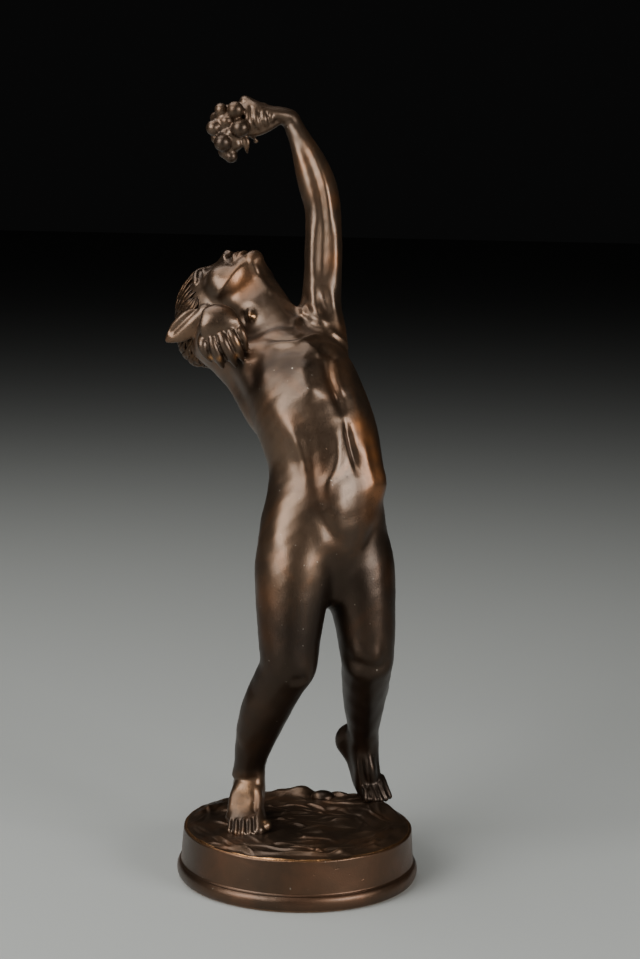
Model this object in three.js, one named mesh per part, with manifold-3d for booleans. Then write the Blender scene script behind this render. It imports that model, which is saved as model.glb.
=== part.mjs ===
// Bronze faun statuette: a child faun stepping forward, bent back, holding up grapes, on a round base.
// Millimetres, +Z up. The origin is the centre of the base's underside, and the front looks along -Y.
import * as THREE from 'three';
import { ParametricGeometry } from 'three/addons/geometries/ParametricGeometry.js';
import { mergeVertices } from 'three/addons/utils/BufferGeometryUtils.js';
import Module from 'manifold-3d';

const wasm = await Module();
wasm.setup();

const at = (x, y, z) => new THREE.Vector3(x, y, z);
const radians = THREE.MathUtils.degToRad;

// Base: a drum on a round foot moulding, with a shallow recess for the ground
const FOOT_RADIUS = 59.5;
const FOOT_HEIGHT = 8;
const DRUM_FOOT_RADIUS = 57.4;
const DRUM_TOP_RADIUS = 56.3;
const DRUM_HEIGHT = 24.6;
const EDGE_RADIUS = 1.2;
const RIM_WIDTH = 1.6;
const RECESS_DEPTH = 3.2;
const FIT_GAP = 0.3;
const ROUND_SEGMENTS = 48;

// Ground: rough modelled earth, cast in one with the feet
const GROUND_TOP = 25.6;
const GROUND_ROUGHNESS = 0.45;
const GROUND_RINGS = 5;
const GROUND_SPOKES = 28;
const HILLS = [
  { x: 37, y: 33, rise: 3.3, spread: 17 },
  { x: 16, y: 38, rise: 3, spread: 5.2 },
  { x: -8, y: 49, rise: 2.2, spread: 6 },
  { x: 1.5, y: 50, rise: 2.8, spread: 6 },
  { x: 13, y: 49, rise: 2, spread: 6 },
];
const FALLEN_GRAPE = { place: at(-15.7, -16, 28.6), radius: 3.2 };

// Directions of the body: the hips turn to the right of the front, the chest leans back, the face looks up
const UP = at(0, 0, 1);
const LEFT = at(0.88, 0.47, 0).normalize();
const FRONT = at(0.47, -0.88, 0).normalize();
const LEAN = at(-0.42, 0.38, 0.82).normalize();
const CHEST_LEFT = LEFT.clone().addScaledVector(LEAN, -LEFT.dot(LEAN)).normalize();
const CHEST_FRONT = CHEST_LEFT.clone().cross(LEAN);
const FACE = at(-0.3, 0.04, 0.953).normalize();
const CROWN = at(-0.76, 0.59, -0.27).normalize();
const HEAD_RIGHT = FACE.clone().cross(CROWN);

// Joints of the figure
const PELVIS = at(10.5, 5, 172.5);
const RIBS = at(0, 26, 233);
const COLLAR = at(-8, 40, 258);
const NECK = at(-14, 44, 259);
const THROAT = at(-29, 57, 282);
const HEAD = at(-42, 67, 278.5);
const RIGHT_LEG = { hip: at(-2.5, -2, 165), knee: at(-5.5, -13, 108.5), ankle: at(-25, 9, 49) };
const LEFT_LEG = { hip: at(24, 12, 163), knee: at(32.5, 2, 108), ankle: at(32.5, 39, 57.5) };
const RIGHT_FOOT = { heel: at(-26.5, 19, 35), ball: at(-25.5, -5, 30) };
const LEFT_FOOT = { heel: at(23.5, 46, 56), ball: at(34.5, 36, 34), tread: at(37.5, 32.5, 30.5) };
const RAISED_ARM = { shoulder: at(5.5, 49, 271), elbow: at(6, 54, 328), wrist: at(-10.5, 58, 369.5) };
const BENT_ARM = { shoulder: at(-24, 25, 251), elbow: at(-50, 50, 255), wrist: at(-46, 17, 275) };

// The trunk from the seat to the collar, and the belly before it, with half-widths across and deep
const TRUNK_ACROSS = at(0.985, 0.174, 0);
const TRUNK_STATIONS = [
  at(9.5, 7, 188.5),
  at(10.8, 11.5, 201),
  at(6.5, 14.5, 217),
  at(0.5, 20.5, 233),
  at(-5.5, 30, 248),
];
const TRUNK_GIRTHS = [
  [23, 19],
  [29.5, 23],
  [28.2, 24],
  [27.8, 24],
  [29, 25],
  [28.6, 26],
  [27.2, 22],
  [21, 13],
];
const BELLY = [at(12, 2, 168), at(13.5, -4, 177), at(13, -1.5, 190), at(11, 5, 204)];
const BELLY_GIRTHS = [[13, 10], [16.5, 14.5], [14, 15], [10, 12]];
const FLANK = { place: at(33.5, 8, 196), radii: [6, 8, 10] };
const ARMPIT_WALL = [at(-43, 44, 247), at(-34.5, 38, 240), at(-28, 31, 231), at(-22, 24, 221)];
const ARMPIT_WALL_GIRTHS = [6.2, 7, 7.6, 7];

// Half-widths along each limb, from its upper joint to its lower one
const RIGHT_THIGH = [20, 19.8, 18.2, 16.6, 15.2, 14];
const RIGHT_SHIN = [13.6, 12.8, 12.4, 11.2, 9.2, 7.6];
const LEFT_THIGH = [19, 18.8, 17.2, 15.6, 14.4, 13.2];
const LEFT_SHIN = [12.8, 12.4, 11.4, 10.2, 8.7, 7.6];
const RAISED_UPPER = [12, 10.2, 9.7, 9.8, 9.4, 9.2];
const RAISED_FORE = [9.3, 9.9, 9.2, 7.8, 6, 4.9];
const BENT_UPPER = [12, 10.6, 10, 9.4, 8.4];
const BENT_FORE = [8.2, 8.4, 7.8, 6.6, 5.4];
const TOE_RADII = [2.1, 2.2, 2.3, 2.5, 3.3];
const FINGER_RADII = [2.1, 2.35, 2.45, 2.35];
const PHALANGES = [7.4, 6, 4.6];
const FINGER_CURLS = [-8, 34, 30];
const FINGER_SPREAD = 3;
const KNUCKLE_PITCH = 4.1;
const KNUCKLE_REACH = 8;

// Balls of the head, placed and sized to its right, out of the face and up to the crown
const SKULL = { place: [0, -4, 4.5], radii: [22.4, 24.4, 25] };
const JAW = { place: [0, 5.5, -11], radii: [17.5, 15, 17] };
const CHIN = { place: [0, 12, -20], radii: [10, 8.5, 9] };
const CHEEK = { place: [9.5, 9, -9.5], radii: [10, 10, 10] };
const EAR = { root: [20, -2, -3], tip: [28.5, -5.5, 17] };
const EAR_GIRTHS = [[4.5, 2.6], [6, 2.2], [4.6, 1.9], [1.4, 1]];
const NECK_GIRTHS = [17.5, 16, 15.5, 15];
const WATTLE_RADIUS = 2.6;

// Solids from geometry

function solid(geometry) {
  geometry.deleteAttribute('normal');
  geometry.deleteAttribute('uv');
  const merged = mergeVertices(geometry, 1e-4);
  const index = merged.index.array;
  const kept = [];
  for (let i = 0; i < index.length; i += 3) {
    const [a, b, c] = index.slice(i, i + 3);
    if (a !== b && b !== c && c !== a) {
      kept.push(a, b, c);
    }
  }
  const vertProperties = new Float32Array(merged.attributes.position.array);
  const build = (corners) =>
    new wasm.Manifold(new wasm.Mesh({ numProp: 3, vertProperties, triVerts: new Uint32Array(corners) }));
  const first = build(kept);
  return first.volume() > 0 ? first : build(kept.reverse());
}

// The union's outer skin, without pockets closed in between its parts
function unite(solids) {
  const shells = solids.reduce((whole, next) => whole.add(next)).decompose();
  return shells.reduce((largest, next) => (next.volume() > largest.volume() ? next : largest));
}

function mesh(name, shape, material) {
  const { vertProperties, triVerts } = shape.getMesh();
  const geometry = new THREE.BufferGeometry();
  geometry.setAttribute('position', new THREE.BufferAttribute(vertProperties, 3));
  geometry.setIndex(new THREE.BufferAttribute(triVerts, 1));
  geometry.computeVertexNormals();
  const made = new THREE.Mesh(geometry, material);
  made.name = name;
  return made;
}

// Clay forms

const mix = (a, b, t) => a.clone().lerp(b, t);

const shifted = (point, x, y, z) => point.clone().add(at(x, y, z));

const inFrame = (origin, left, front, up, l, f, u) =>
  origin.clone().addScaledVector(left, l).addScaledVector(front, f).addScaledVector(up, u);

const onHips = (l, f, u) => inFrame(PELVIS, LEFT, FRONT, UP, l, f, u);

const onChest = (l, f, u) => inFrame(RIBS, CHEST_LEFT, CHEST_FRONT, LEAN, l, f, u);

const onHead = (right, out, up) => inFrame(HEAD, HEAD_RIGHT, FACE, CROWN, right, out, up);

function ball(centre, radii, along = UP, across = at(1, 0, 0), detail = 10) {
  const side = across.clone().addScaledVector(along, -across.dot(along)).normalize();
  const depth = along.clone().cross(side);
  const geometry = new THREE.SphereGeometry(1, detail, Math.ceil(detail / 2));
  const turn = new THREE.Matrix4().makeBasis(
    side.multiplyScalar(radii[0]),
    along.clone().multiplyScalar(radii[2]),
    depth.multiplyScalar(-radii[1]),
  );
  return solid(geometry.applyMatrix4(turn.setPosition(centre)));
}

function between(values, t) {
  const place = t * (values.length - 1);
  const i = Math.min(Math.floor(place), values.length - 2);
  const s = THREE.MathUtils.smoothstep(place - i, 0, 1) * 0.4 + (place - i) * 0.6;
  return values[i] + (values[i + 1] - values[i]) * s;
}

// Rings that round off each end of a tube
const CAP_STEPS = 2;

// A tube of oval section through points, with round ends; a half-width is a number or [across, deep]
function sweep(points, halves, across = at(1, 0, 0), sides = 10) {
  const curve = new THREE.CatmullRomCurve3(points, false, 'catmullrom', 0.5);
  const wide = halves.map((h) => (Array.isArray(h) ? h[0] : h));
  const deep = halves.map((h) => (Array.isArray(h) ? h[1] : h));
  const spans = points.length - 1;
  const stations = spans + 2 * CAP_STEPS;
  const geometry = new ParametricGeometry((u, v, target) => {
    const station = v * stations;
    const startCap = Math.max(CAP_STEPS - station, 0) / CAP_STEPS;
    const endCap = Math.max(station - CAP_STEPS - spans, 0) / CAP_STEPS;
    const cap = endCap - startCap;
    const bulge = Math.sin(cap * Math.PI / 2);
    const shrink = Math.abs(cap) < 1 ? Math.cos(cap * Math.PI / 2) : 0;
    const t = THREE.MathUtils.clamp((station - CAP_STEPS) / spans, 0, 1);
    const along = curve.getTangent(t);
    const side = across.clone().addScaledVector(along, -across.dot(along)).normalize();
    const depth = along.clone().cross(side);
    const w = between(wide, t);
    const d = between(deep, t);
    target.copy(curve.getPoint(t));
    target.addScaledVector(along, bulge * Math.min(w, d));
    target.addScaledVector(side, Math.cos(u * 2 * Math.PI) * w * shrink);
    target.addScaledVector(depth, Math.sin(u * 2 * Math.PI) * d * shrink);
  }, sides, stations);
  return solid(geometry);
}

// A limb through its joints: each part has half-widths at even stations and a bow between its joints
function limb(joints, parts, bows = [], sides = 12) {
  const points = [joints[0]];
  const halves = [parts[0][0]];
  parts.forEach((widths, k) => {
    const bow = bows[k] ?? at(0, 0, 0);
    for (let i = 1; i < widths.length; i += 1) {
      const t = i / (widths.length - 1);
      points.push(mix(joints[k], joints[k + 1], t).addScaledVector(bow, 4 * t * (1 - t)));
      halves.push(widths[i]);
    }
  });
  return sweep(points, halves, at(1, 0, 0), sides);
}

// A finger: each phalanx turns by its curl about the knuckle line
function finger(knuckle, along, across, lengths, curls, radius) {
  const points = [knuckle.clone()];
  const direction = along.clone();
  lengths.forEach((length, i) => {
    direction.applyAxisAngle(across, radians(curls[i]));
    points.push(points[i].clone().addScaledVector(direction, length));
  });
  return sweep(points, [1.08, 1, 0.94, 0.8].map((k) => k * radius), across, 6);
}

// Trunk

function trunk() {
  const spine = [onHips(0, 0, -20), PELVIS, ...TRUNK_STATIONS, COLLAR];
  const hips = [-1, 1].flatMap((side) => [
    ball(onHips(side * 13, -9.5, -8), [17.5, 17, 20], UP, LEFT),
    ball(onHips(side * 17, -2, 2), [15, 20, 20], UP, LEFT),
    ball(onChest(side * 15, -11, 4), [14, 10, 17], LEAN, CHEST_LEFT),
  ]);
  return [
    sweep(spine, TRUNK_GIRTHS, TRUNK_ACROSS, 18),
    sweep(BELLY, BELLY_GIRTHS, TRUNK_ACROSS, 16),
    sweep(ARMPIT_WALL, ARMPIT_WALL_GIRTHS),
    ball(FLANK.place, FLANK.radii),
    ball(onChest(-13, 7, 4), [17.5, 13, 19], LEAN, CHEST_LEFT),
    ball(onChest(13, 8, 6), [14, 12, 20], LEAN, CHEST_LEFT),
    ball(at(-8, 16, 243), [19, 15, 12], UP, TRUNK_ACROSS),
    ...hips,
  ];
}

// Legs and feet

function leg({ hip, knee, ankle }, thigh, shin, bows, outward) {
  const down = ankle.clone().sub(knee).normalize();
  const back = at(0, 1, 0).addScaledVector(down, -down.y).normalize();
  const calf = mix(knee, ankle, 0.36).addScaledVector(back, 4.5).add(at(outward * 12, 0, 0));
  return [
    limb([hip, knee, ankle], [thigh, shin], bows),
    ball(shifted(knee, outward * 4, -6.5, 2), [7.6, 7, 9]),
    ball(calf, [10, 9, 16], down),
  ];
}

function toes(count, tipOf, rise, radiusOf) {
  return Array.from({ length: count }, (_, k) => {
    const tip = tipOf(k / (count - 1), k);
    const radius = radiusOf(k);
    const middle = tip.clone().addScaledVector(rise, 0.42);
    return ball(middle, [radius, radius * 1.05, rise.length() / 2 + radius], rise.clone().normalize(), UP, 6);
  });
}

function standingFoot() {
  const { heel, ball: tread } = RIGHT_FOOT;
  const { ankle } = RIGHT_LEG;
  const instep = [
    shifted(ankle, 0, 0, 4),
    shifted(ankle, 0.5, -1.5, -8),
    at(-25.5, -1, 34.5),
    shifted(tread, 0, -3, -1),
  ];
  const heelLine = [shifted(ankle, 0, 4, 2), shifted(heel, 0, 0, 4), shifted(heel, 0, -2, -1)];
  const tipOf = (t, k) => {
    const reach = 14.5 + 6.5 * Math.sin(Math.PI * (t * 0.62 + 0.12));
    return at(-32.3 + 13.2 * t, -reach, 26.2 + (TOE_RADII[k] - 2.2) * 0.8);
  };
  return [
    sweep(instep, [7.8, [8.4, 9.5], [9.2, 7.6], [10.2, 4.4]]),
    sweep(heelLine, [[6.2, 6], [7.2, 7], [7.8, 7]]),
    ball(shifted(tread, 0, -2, -0.5), [11, 8.5, 4.6]),
    ball(shifted(ankle, -6.3, -1, -2), [3, 3, 3], UP, LEFT, 8),
    ball(shifted(ankle, 6, -1.5, -1), [3, 3, 3], UP, LEFT, 8),
    ...toes(5, tipOf, at(0.2, 10, 3.4), (k) => TOE_RADII[k]),
  ];
}

function tiptoeFoot() {
  const { heel, ball: tread, tread: tip } = LEFT_FOOT;
  const { ankle } = LEFT_LEG;
  const skew = at(1, -0.2, 0);
  const arch = [
    shifted(ankle, 0, -1, 4),
    shifted(ankle, 0.5, 1, -6),
    mix(ankle, tread, 0.6),
    shifted(tread, 1.2, 0, 0),
    shifted(tip, 1.8, -1, 0),
  ];
  const sole = [shifted(ankle, -2, 3, 4), heel, shifted(heel, 5, -2.5, -9), shifted(tread, -2.5, 3.5, 1)];
  const tipOf = (t) => at(31.5 + 10.3 * t, 27.5 + 6.5 * t * t, 28.2 + 2.6 * t);
  return [
    sweep(arch, [8, 7.8, [7, 7.6], [7.4, 6.2], [7.4, 3.6]], skew),
    sweep(sole, [6.5, [6.6, 6.4], [5.4, 5], [5, 5]], skew),
    ...toes(5, tipOf, at(-1.5, 6.5, 4.6), (k) => TOE_RADII[4 - k] * 0.9),
  ];
}

// Arms and hands

function arms() {
  const { shoulder, elbow, wrist } = RAISED_ARM;
  return [
    limb([onChest(18, -1, 14), shoulder, elbow, wrist], [[13, 13.5, 12.5], RAISED_UPPER, RAISED_FORE]),
    limb([onChest(-17, 0, 17), BENT_ARM.shoulder, BENT_ARM.elbow], [[13, 13, 12], BENT_UPPER]),
    limb([BENT_ARM.elbow, BENT_ARM.wrist], [BENT_FORE]),
  ];
}

// The right hand droops from its wrist before the ear, its fingers curling back to the hair
function browHand() {
  const { wrist } = BENT_ARM;
  const along = at(0.3, -0.22, -0.93).normalize();
  const across = at(0.95, 0.05, 0.3).addScaledVector(along, -at(0.95, 0.05, 0.3).dot(along)).normalize();
  const inHand = (a, c) => wrist.clone().addScaledVector(along, a).addScaledVector(across, c);
  const palm = sweep([wrist, inHand(5.5, 0), inHand(10.5, 0)], [[5.6, 5], [7.2, 4], [8, 3.4]], across);
  const thumbLine = [inHand(1, 5), inHand(4, 9.5), inHand(9, 12.5), shifted(inHand(16, 12.6), 0, 3, 0)];
  const fingers = FINGER_RADII.map((radius, k) => {
    const offset = k - 1.5;
    const knuckle = inHand(KNUCKLE_REACH - 0.8 * Math.abs(offset), offset * KNUCKLE_PITCH);
    const spread = along.clone().applyAxisAngle(along.clone().cross(across), radians(offset * FINGER_SPREAD));
    return finger(knuckle, spread, across, PHALANGES, FINGER_CURLS, radius);
  });
  return [palm, sweep(thumbLine, [3.2, 3, 2.6, 2], across, 6), ...fingers];
}

// The left hand bends forward from its wrist, its fingers folded over the stalk of the grapes
function grapeHand() {
  const { wrist } = RAISED_ARM;
  const backLine = [[0, 0], [-1, 1.4], [-6, 2.9], [-12, 3.9], [-18, 6], [-23.5, 9.4]];
  const back = sweep(
    backLine.map(([x, z]) => shifted(wrist, x, 0, z)),
    [[4.9, 5], [4.6, 5], [4.2, 6.5], [4, 7.5], [3.8, 7.5], [2.8, 4.5]],
    at(0.2, 0, 1),
  );
  const folded = Array.from({ length: 4 }, (_, k) => {
    const root = shifted(wrist, -8.5 - k * 3.7, 0, 4.5 + k);
    const points = [[1.2, -3, 0], [0.6, -6.6, -4.5], [-1, -6, -9], [-1.2, -2.5, -11.5]];
    return sweep(points.map((p) => shifted(root, ...p)), [2.1, 2.3, 2.2, 1.7], at(1, 0, 0), 6);
  });
  const fist = ball(shifted(wrist, -14, -1.5, 1), [10, 5.5, 6]);
  return [back, fist, ...folded];
}

// A hanging bunch: rings of grapes that narrow downwards around a core
function grapes() {
  const top = shifted(RAISED_ARM.wrist, -32, -1.5, 4.5);
  const rows = [
    { drop: 0, ring: 4.6, count: 4, radius: 3.3 },
    { drop: 6.5, ring: 6.2, count: 4, radius: 3.7 },
    { drop: 13, ring: 4.2, count: 3, radius: 3.5 },
    { drop: 18.6, ring: 0.6, count: 1, radius: 3.2 },
  ];
  const core = ball(shifted(top, 0, 0, -7.5), [4.5, 4.5, 9.5]);
  const berries = rows.flatMap(({ drop, ring, count, radius }, row) =>
    Array.from({ length: count }, (_, k) => {
      const turn = radians((k * 360) / count + row * 40 + 10);
      const place = shifted(top, ring * Math.cos(turn) + row * 0.4, ring * Math.sin(turn), -drop + (k % 2));
      return ball(place, [radius, radius, radius], UP, LEFT, 7);
    }));
  return [core, ...berries];
}

// Head

const headBall = ({ place, radii }, side = 1) =>
  ball(onHead(side * place[0], place[1], place[2]), radii, CROWN, HEAD_RIGHT, 12);

// A long leaf-shaped ear, and a small wattle that hangs from the throat below it
function earAndWattle(side) {
  const root = onHead(side * EAR.root[0], EAR.root[1], EAR.root[2]);
  const tip = onHead(side * EAR.tip[0], EAR.tip[1], EAR.tip[2]);
  const bowed = (t, bow) => mix(root, tip, t).addScaledVector(HEAD_RIGHT, side * bow);
  const wattle = mix(NECK, THROAT, 0.62).addScaledVector(HEAD_RIGHT, side * 13.5).addScaledVector(FACE, 1.5);
  const hanging = shifted(wattle, 6, 0, 1);
  return [
    sweep([root, bowed(0.35, 1.5), bowed(0.7, 1), tip], EAR_GIRTHS, FACE, 8),
    ball(hanging, [WATTLE_RADIUS, WATTLE_RADIUS, WATTLE_RADIUS], UP, LEFT, 8),
  ];
}

function headAndNeck() {
  const neckLine = [NECK, mix(NECK, THROAT, 0.35), mix(NECK, THROAT, 0.7), THROAT];
  return [
    sweep(neckLine, NECK_GIRTHS, at(1, 0, 0), 14),
    ball(onHead(...SKULL.place), SKULL.radii, CROWN, HEAD_RIGHT, 16),
    headBall(JAW),
    headBall(CHIN),
    headBall(CHEEK, -1),
    headBall(CHEEK),
    ...earAndWattle(-1),
    ...earAndWattle(1),
  ];
}

// Ground

const hill = ({ x, y, rise, spread }, px, py) =>
  rise * Math.exp(-((Math.hypot(px - x, py - y) / spread) ** 3));

function groundHeight(x, y) {
  const rough = Math.sin(x * 0.31 + 1.3) * Math.cos(y * 0.27 - 0.6) + 0.6 * Math.sin(x * 0.13 - y * 0.21);
  const hills = HILLS.reduce((sum, each) => sum + hill(each, x, y), 0);
  return GROUND_TOP + hills + GROUND_ROUGHNESS * rough;
}

function ground() {
  const radius = DRUM_TOP_RADIUS - RIM_WIDTH - FIT_GAP;
  const floor = DRUM_HEIGHT - RECESS_DEPTH + FIT_GAP;
  const geometry = new ParametricGeometry((u, v, target) => {
    const angle = u * 2 * Math.PI;
    const ring = v * (GROUND_RINGS + 2);
    const reach = ring <= 1 ? ring : Math.min((GROUND_RINGS + 2 - ring) / GROUND_RINGS, 1);
    const x = Math.cos(angle) * radius * reach;
    const y = Math.sin(angle) * radius * reach;
    target.set(x, y, ring <= 1 ? floor : groundHeight(x, y));
  }, GROUND_SPOKES, GROUND_RINGS + 2);
  const { place, radius: size } = FALLEN_GRAPE;
  return [solid(geometry), ball(place, [size, size, size], UP, LEFT, 10)];
}

function faun() {
  const rightBows = [at(-1.2, -2, 0), at(-3.2, 2, 0)];
  const leftBows = [at(1.4, -2, 0), at(-0.6, 2, 0)];
  return unite([
    ...trunk(),
    ...leg(RIGHT_LEG, RIGHT_THIGH, RIGHT_SHIN, rightBows, -0.2),
    ...leg(LEFT_LEG, LEFT_THIGH, LEFT_SHIN, leftBows, 0.15),
    ...standingFoot(),
    ...tiptoeFoot(),
    ...arms(),
    ...browHand(),
    ...grapeHand(),
    ...grapes(),
    ...headAndNeck(),
    ...ground(),
  ]);
}

// Base: one turned profile, from the axis out along the underside, up the side and back into the recess

function arc(cx, cz, radius, from, to, steps) {
  return Array.from({ length: steps + 1 }, (_, i) => {
    const angle = radians(from + ((to - from) * i) / steps);
    return new THREE.Vector2(cx + radius * Math.cos(angle), cz + radius * Math.sin(angle));
  });
}

function base() {
  const footRound = FOOT_HEIGHT / 2 + 0.2;
  const recessRadius = DRUM_TOP_RADIUS - RIM_WIDTH;
  const floor = DRUM_HEIGHT - RECESS_DEPTH;
  const profile = [
    new THREE.Vector2(0, 0),
    ...arc(FOOT_RADIUS - footRound, footRound, footRound, -90, 62, 6),
    new THREE.Vector2(DRUM_FOOT_RADIUS, FOOT_HEIGHT + 0.6),
    new THREE.Vector2(DRUM_TOP_RADIUS, DRUM_HEIGHT - EDGE_RADIUS),
    ...arc(DRUM_TOP_RADIUS - EDGE_RADIUS, DRUM_HEIGHT - EDGE_RADIUS, EDGE_RADIUS, 30, 90, 2),
    new THREE.Vector2(recessRadius, DRUM_HEIGHT),
    new THREE.Vector2(recessRadius, floor),
    new THREE.Vector2(0, floor),
  ];
  const geometry = new THREE.LatheGeometry(profile, ROUND_SEGMENTS);
  return solid(geometry.rotateX(Math.PI / 2));
}

const bronze = new THREE.MeshStandardMaterial({ color: 0x3a2a20, roughness: 0.35, metalness: 0.9 });
const baseBronze = new THREE.MeshStandardMaterial({ color: 0x402a1c, roughness: 0.38, metalness: 0.85 });

const statuette = new THREE.Group();
statuette.add(mesh('faun', faun(), bronze));
statuette.add(mesh('base', base(), baseBronze));

export default statuette;
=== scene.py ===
import math
from collections import namedtuple

import bmesh
import bpy
import numpy as np
from mathutils import Matrix, Vector
from mathutils.bvhtree import BVHTree


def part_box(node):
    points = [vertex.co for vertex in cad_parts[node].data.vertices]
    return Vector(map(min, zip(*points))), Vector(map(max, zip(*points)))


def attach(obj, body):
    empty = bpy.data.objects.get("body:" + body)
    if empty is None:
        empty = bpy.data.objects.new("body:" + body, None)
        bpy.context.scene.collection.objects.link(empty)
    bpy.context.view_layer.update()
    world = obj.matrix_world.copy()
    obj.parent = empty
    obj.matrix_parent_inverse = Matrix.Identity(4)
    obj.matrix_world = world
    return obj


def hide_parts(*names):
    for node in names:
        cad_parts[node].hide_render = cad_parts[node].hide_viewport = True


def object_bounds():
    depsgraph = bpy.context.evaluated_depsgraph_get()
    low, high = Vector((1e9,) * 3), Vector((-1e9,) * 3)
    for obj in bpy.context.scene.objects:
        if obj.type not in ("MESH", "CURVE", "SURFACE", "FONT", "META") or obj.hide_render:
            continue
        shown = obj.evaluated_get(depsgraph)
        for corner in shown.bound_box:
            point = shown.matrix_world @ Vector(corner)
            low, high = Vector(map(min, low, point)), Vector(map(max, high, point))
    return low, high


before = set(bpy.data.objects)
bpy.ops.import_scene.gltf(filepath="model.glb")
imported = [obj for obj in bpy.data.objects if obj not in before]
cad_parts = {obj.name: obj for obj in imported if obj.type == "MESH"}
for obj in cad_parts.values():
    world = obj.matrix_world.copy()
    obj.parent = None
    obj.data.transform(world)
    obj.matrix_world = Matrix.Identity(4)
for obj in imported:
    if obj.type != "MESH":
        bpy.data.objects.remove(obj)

CAD_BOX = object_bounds()

# Everything is modelled in millimetres and brought to metres when a piece is finished
MM = 0.001
UP = Vector((0, 0, 1))
ACROSS = Vector((1, 0, 0))

# The view: a long lens in front of the statue, a little above it and looking slightly down
PHOTO_WIDTH, PHOTO_HEIGHT = 640, 959
FOCAL_PIXELS = 2000
SENSOR_HEIGHT = 36
CAMERA_PLACE = Vector((7.4, -957.0, 329.0))
CAMERA_PITCH = math.radians(7.85)
CAMERA_ROLL = math.radians(1.2)
# Depth along Y at which a mark just off the outline is taken to lie
MIDDLE_DEPTH = 15

# Joints of the figure, with _r for its right side and _l for its left
JOINTS = {name: Vector(place) for name, place in {
    "pelvis": (10.5, 5, 172.5), "ribs": (0, 26, 233), "collar": (-8, 40, 258),
    "neck": (-14, 44, 259), "throat": (-29, 57, 282), "head": (-42, 67, 278.5),
    "hip_r": (-2.5, -2, 165), "knee_r": (-5.5, -13, 108.5), "ankle_r": (-25, 9, 49),
    "heel_r": (-26.5, 19, 35), "ball_r": (-25.5, -5, 30),
    "hip_l": (24, 12, 163), "knee_l": (32.5, 2, 108), "ankle_l": (32.5, 39, 57.5),
    "heel_l": (23.5, 46, 56), "ball_l": (34.5, 36, 34), "tread_l": (37.5, 32.5, 30.5),
    "shoulder_l": (5.5, 49, 271), "elbow_l": (6, 54, 328), "wrist_l": (-10.5, 58, 369.5),
    "shoulder_r": (-24, 25, 251), "elbow_r": (-50, 50, 255), "wrist_r": (-46, 17, 275),
}.items()}

# The hips turn a little to the viewer's right, the chest leans back and the face looks up
LEFT = Vector((0.88, 0.47, 0)).normalized()
FRONT = Vector((0.47, -0.88, 0)).normalized()
LEAN = Vector((-0.42, 0.38, 0.82)).normalized()
CHEST_LEFT = (LEFT - LEAN * LEFT.dot(LEAN)).normalized()
CHEST_FRONT = CHEST_LEFT.cross(LEAN)
FACE = Vector((-0.30, 0.04, 0.953)).normalized()
CROWN = Vector((-0.76, 0.59, -0.27)).normalized()
HEAD_RIGHT = FACE.cross(CROWN)

# Fineness of the clay, from the rough masses to the finished skin
MASS_VOXEL = 1.0
SKIN_VOXEL = 0.55
MOST_TRIANGLES = 190000

# How far a point goes towards the mean of its neighbours each time it is drawn to them
EASE = 0.6
# How many of its widths away from its line a stroke still tells
TELLING_WIDTHS = 2.6


def on_hips(left, front, up):
    return JOINTS["pelvis"] + LEFT * left + FRONT * front + UP * up


def on_chest(left, front, up):
    return JOINTS["ribs"] + CHEST_LEFT * left + CHEST_FRONT * front + LEAN * up


def on_head(right, out, up):
    return JOINTS["head"] + HEAD_RIGHT * right + FACE * out + CROWN * up


def turned(vector, axis, degrees):
    return Matrix.Rotation(math.radians(degrees), 3, axis) @ vector


def camera_axes():
    """The camera's right, up and forward directions."""
    forward = Vector((0, math.cos(CAMERA_PITCH), -math.sin(CAMERA_PITCH)))
    rise = ACROSS.cross(forward)
    c, s = math.cos(CAMERA_ROLL), math.sin(CAMERA_ROLL)
    return ACROSS * c + rise * s, rise * c - ACROSS * s, forward


def sight(px, py):
    """The direction in which the camera sees a pixel of the photograph."""
    right, up, forward = camera_axes()
    across = (px - PHOTO_WIDTH / 2) / FOCAL_PIXELS
    down = (py - PHOTO_HEIGHT / 2) / FOCAL_PIXELS
    return (forward + right * across - up * down).normalized()


def at_depth(px, py, depth):
    """The place that a pixel shows at a depth along Y."""
    ray = sight(px, py)
    return CAMERA_PLACE + ray * ((depth - CAMERA_PLACE.y) / ray.y)


def make_camera():
    right, up, forward = camera_axes()
    camera = bpy.data.objects.new("camera", bpy.data.cameras.new("camera"))
    turn = Matrix((right, up, -forward)).transposed().to_4x4()
    turn.translation = CAMERA_PLACE * MM
    camera.matrix_world = turn
    camera.data.sensor_fit = "VERTICAL"
    camera.data.sensor_height = SENSOR_HEIGHT
    camera.data.lens = FOCAL_PIXELS / PHOTO_HEIGHT * SENSOR_HEIGHT
    camera.data.clip_start = 0.05
    camera.data.clip_end = 20
    bpy.context.scene.collection.objects.link(camera)
    bpy.context.scene.camera = camera


def new_object(name, bm):
    """An object of the shape in a bmesh, which is used up."""
    mesh = bpy.data.meshes.new(name)
    bm.to_mesh(mesh)
    bm.free()
    ob = bpy.data.objects.new(name, mesh)
    bpy.context.scene.collection.objects.link(ob)
    return ob


# Clay: lumps that are pressed together into one skin

def turn_to(direction, across):
    """A turn that brings Z to a direction and X as near as it can to another."""
    d = Vector(direction).normalized()
    a = Vector(across)
    a = (a - d * a.dot(d)).normalized()
    return Matrix((a, d.cross(a), d)).transposed()


def smooth_steps(values, steps):
    """Values on a smooth curve through the given ones."""
    out = []
    last = len(values) - 1
    for i in range(last):
        a, b = values[max(i - 1, 0)], values[i]
        c, d = values[i + 1], values[min(i + 2, last)]
        for k in range(steps):
            t = k / steps
            out.append(0.5 * (2 * b + (c - a) * t + (2 * a - 5 * b + 4 * c - d) * t * t
                              + (3 * b - a - 3 * c + d) * t ** 3))
    out.append(values[last])
    return out


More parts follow.
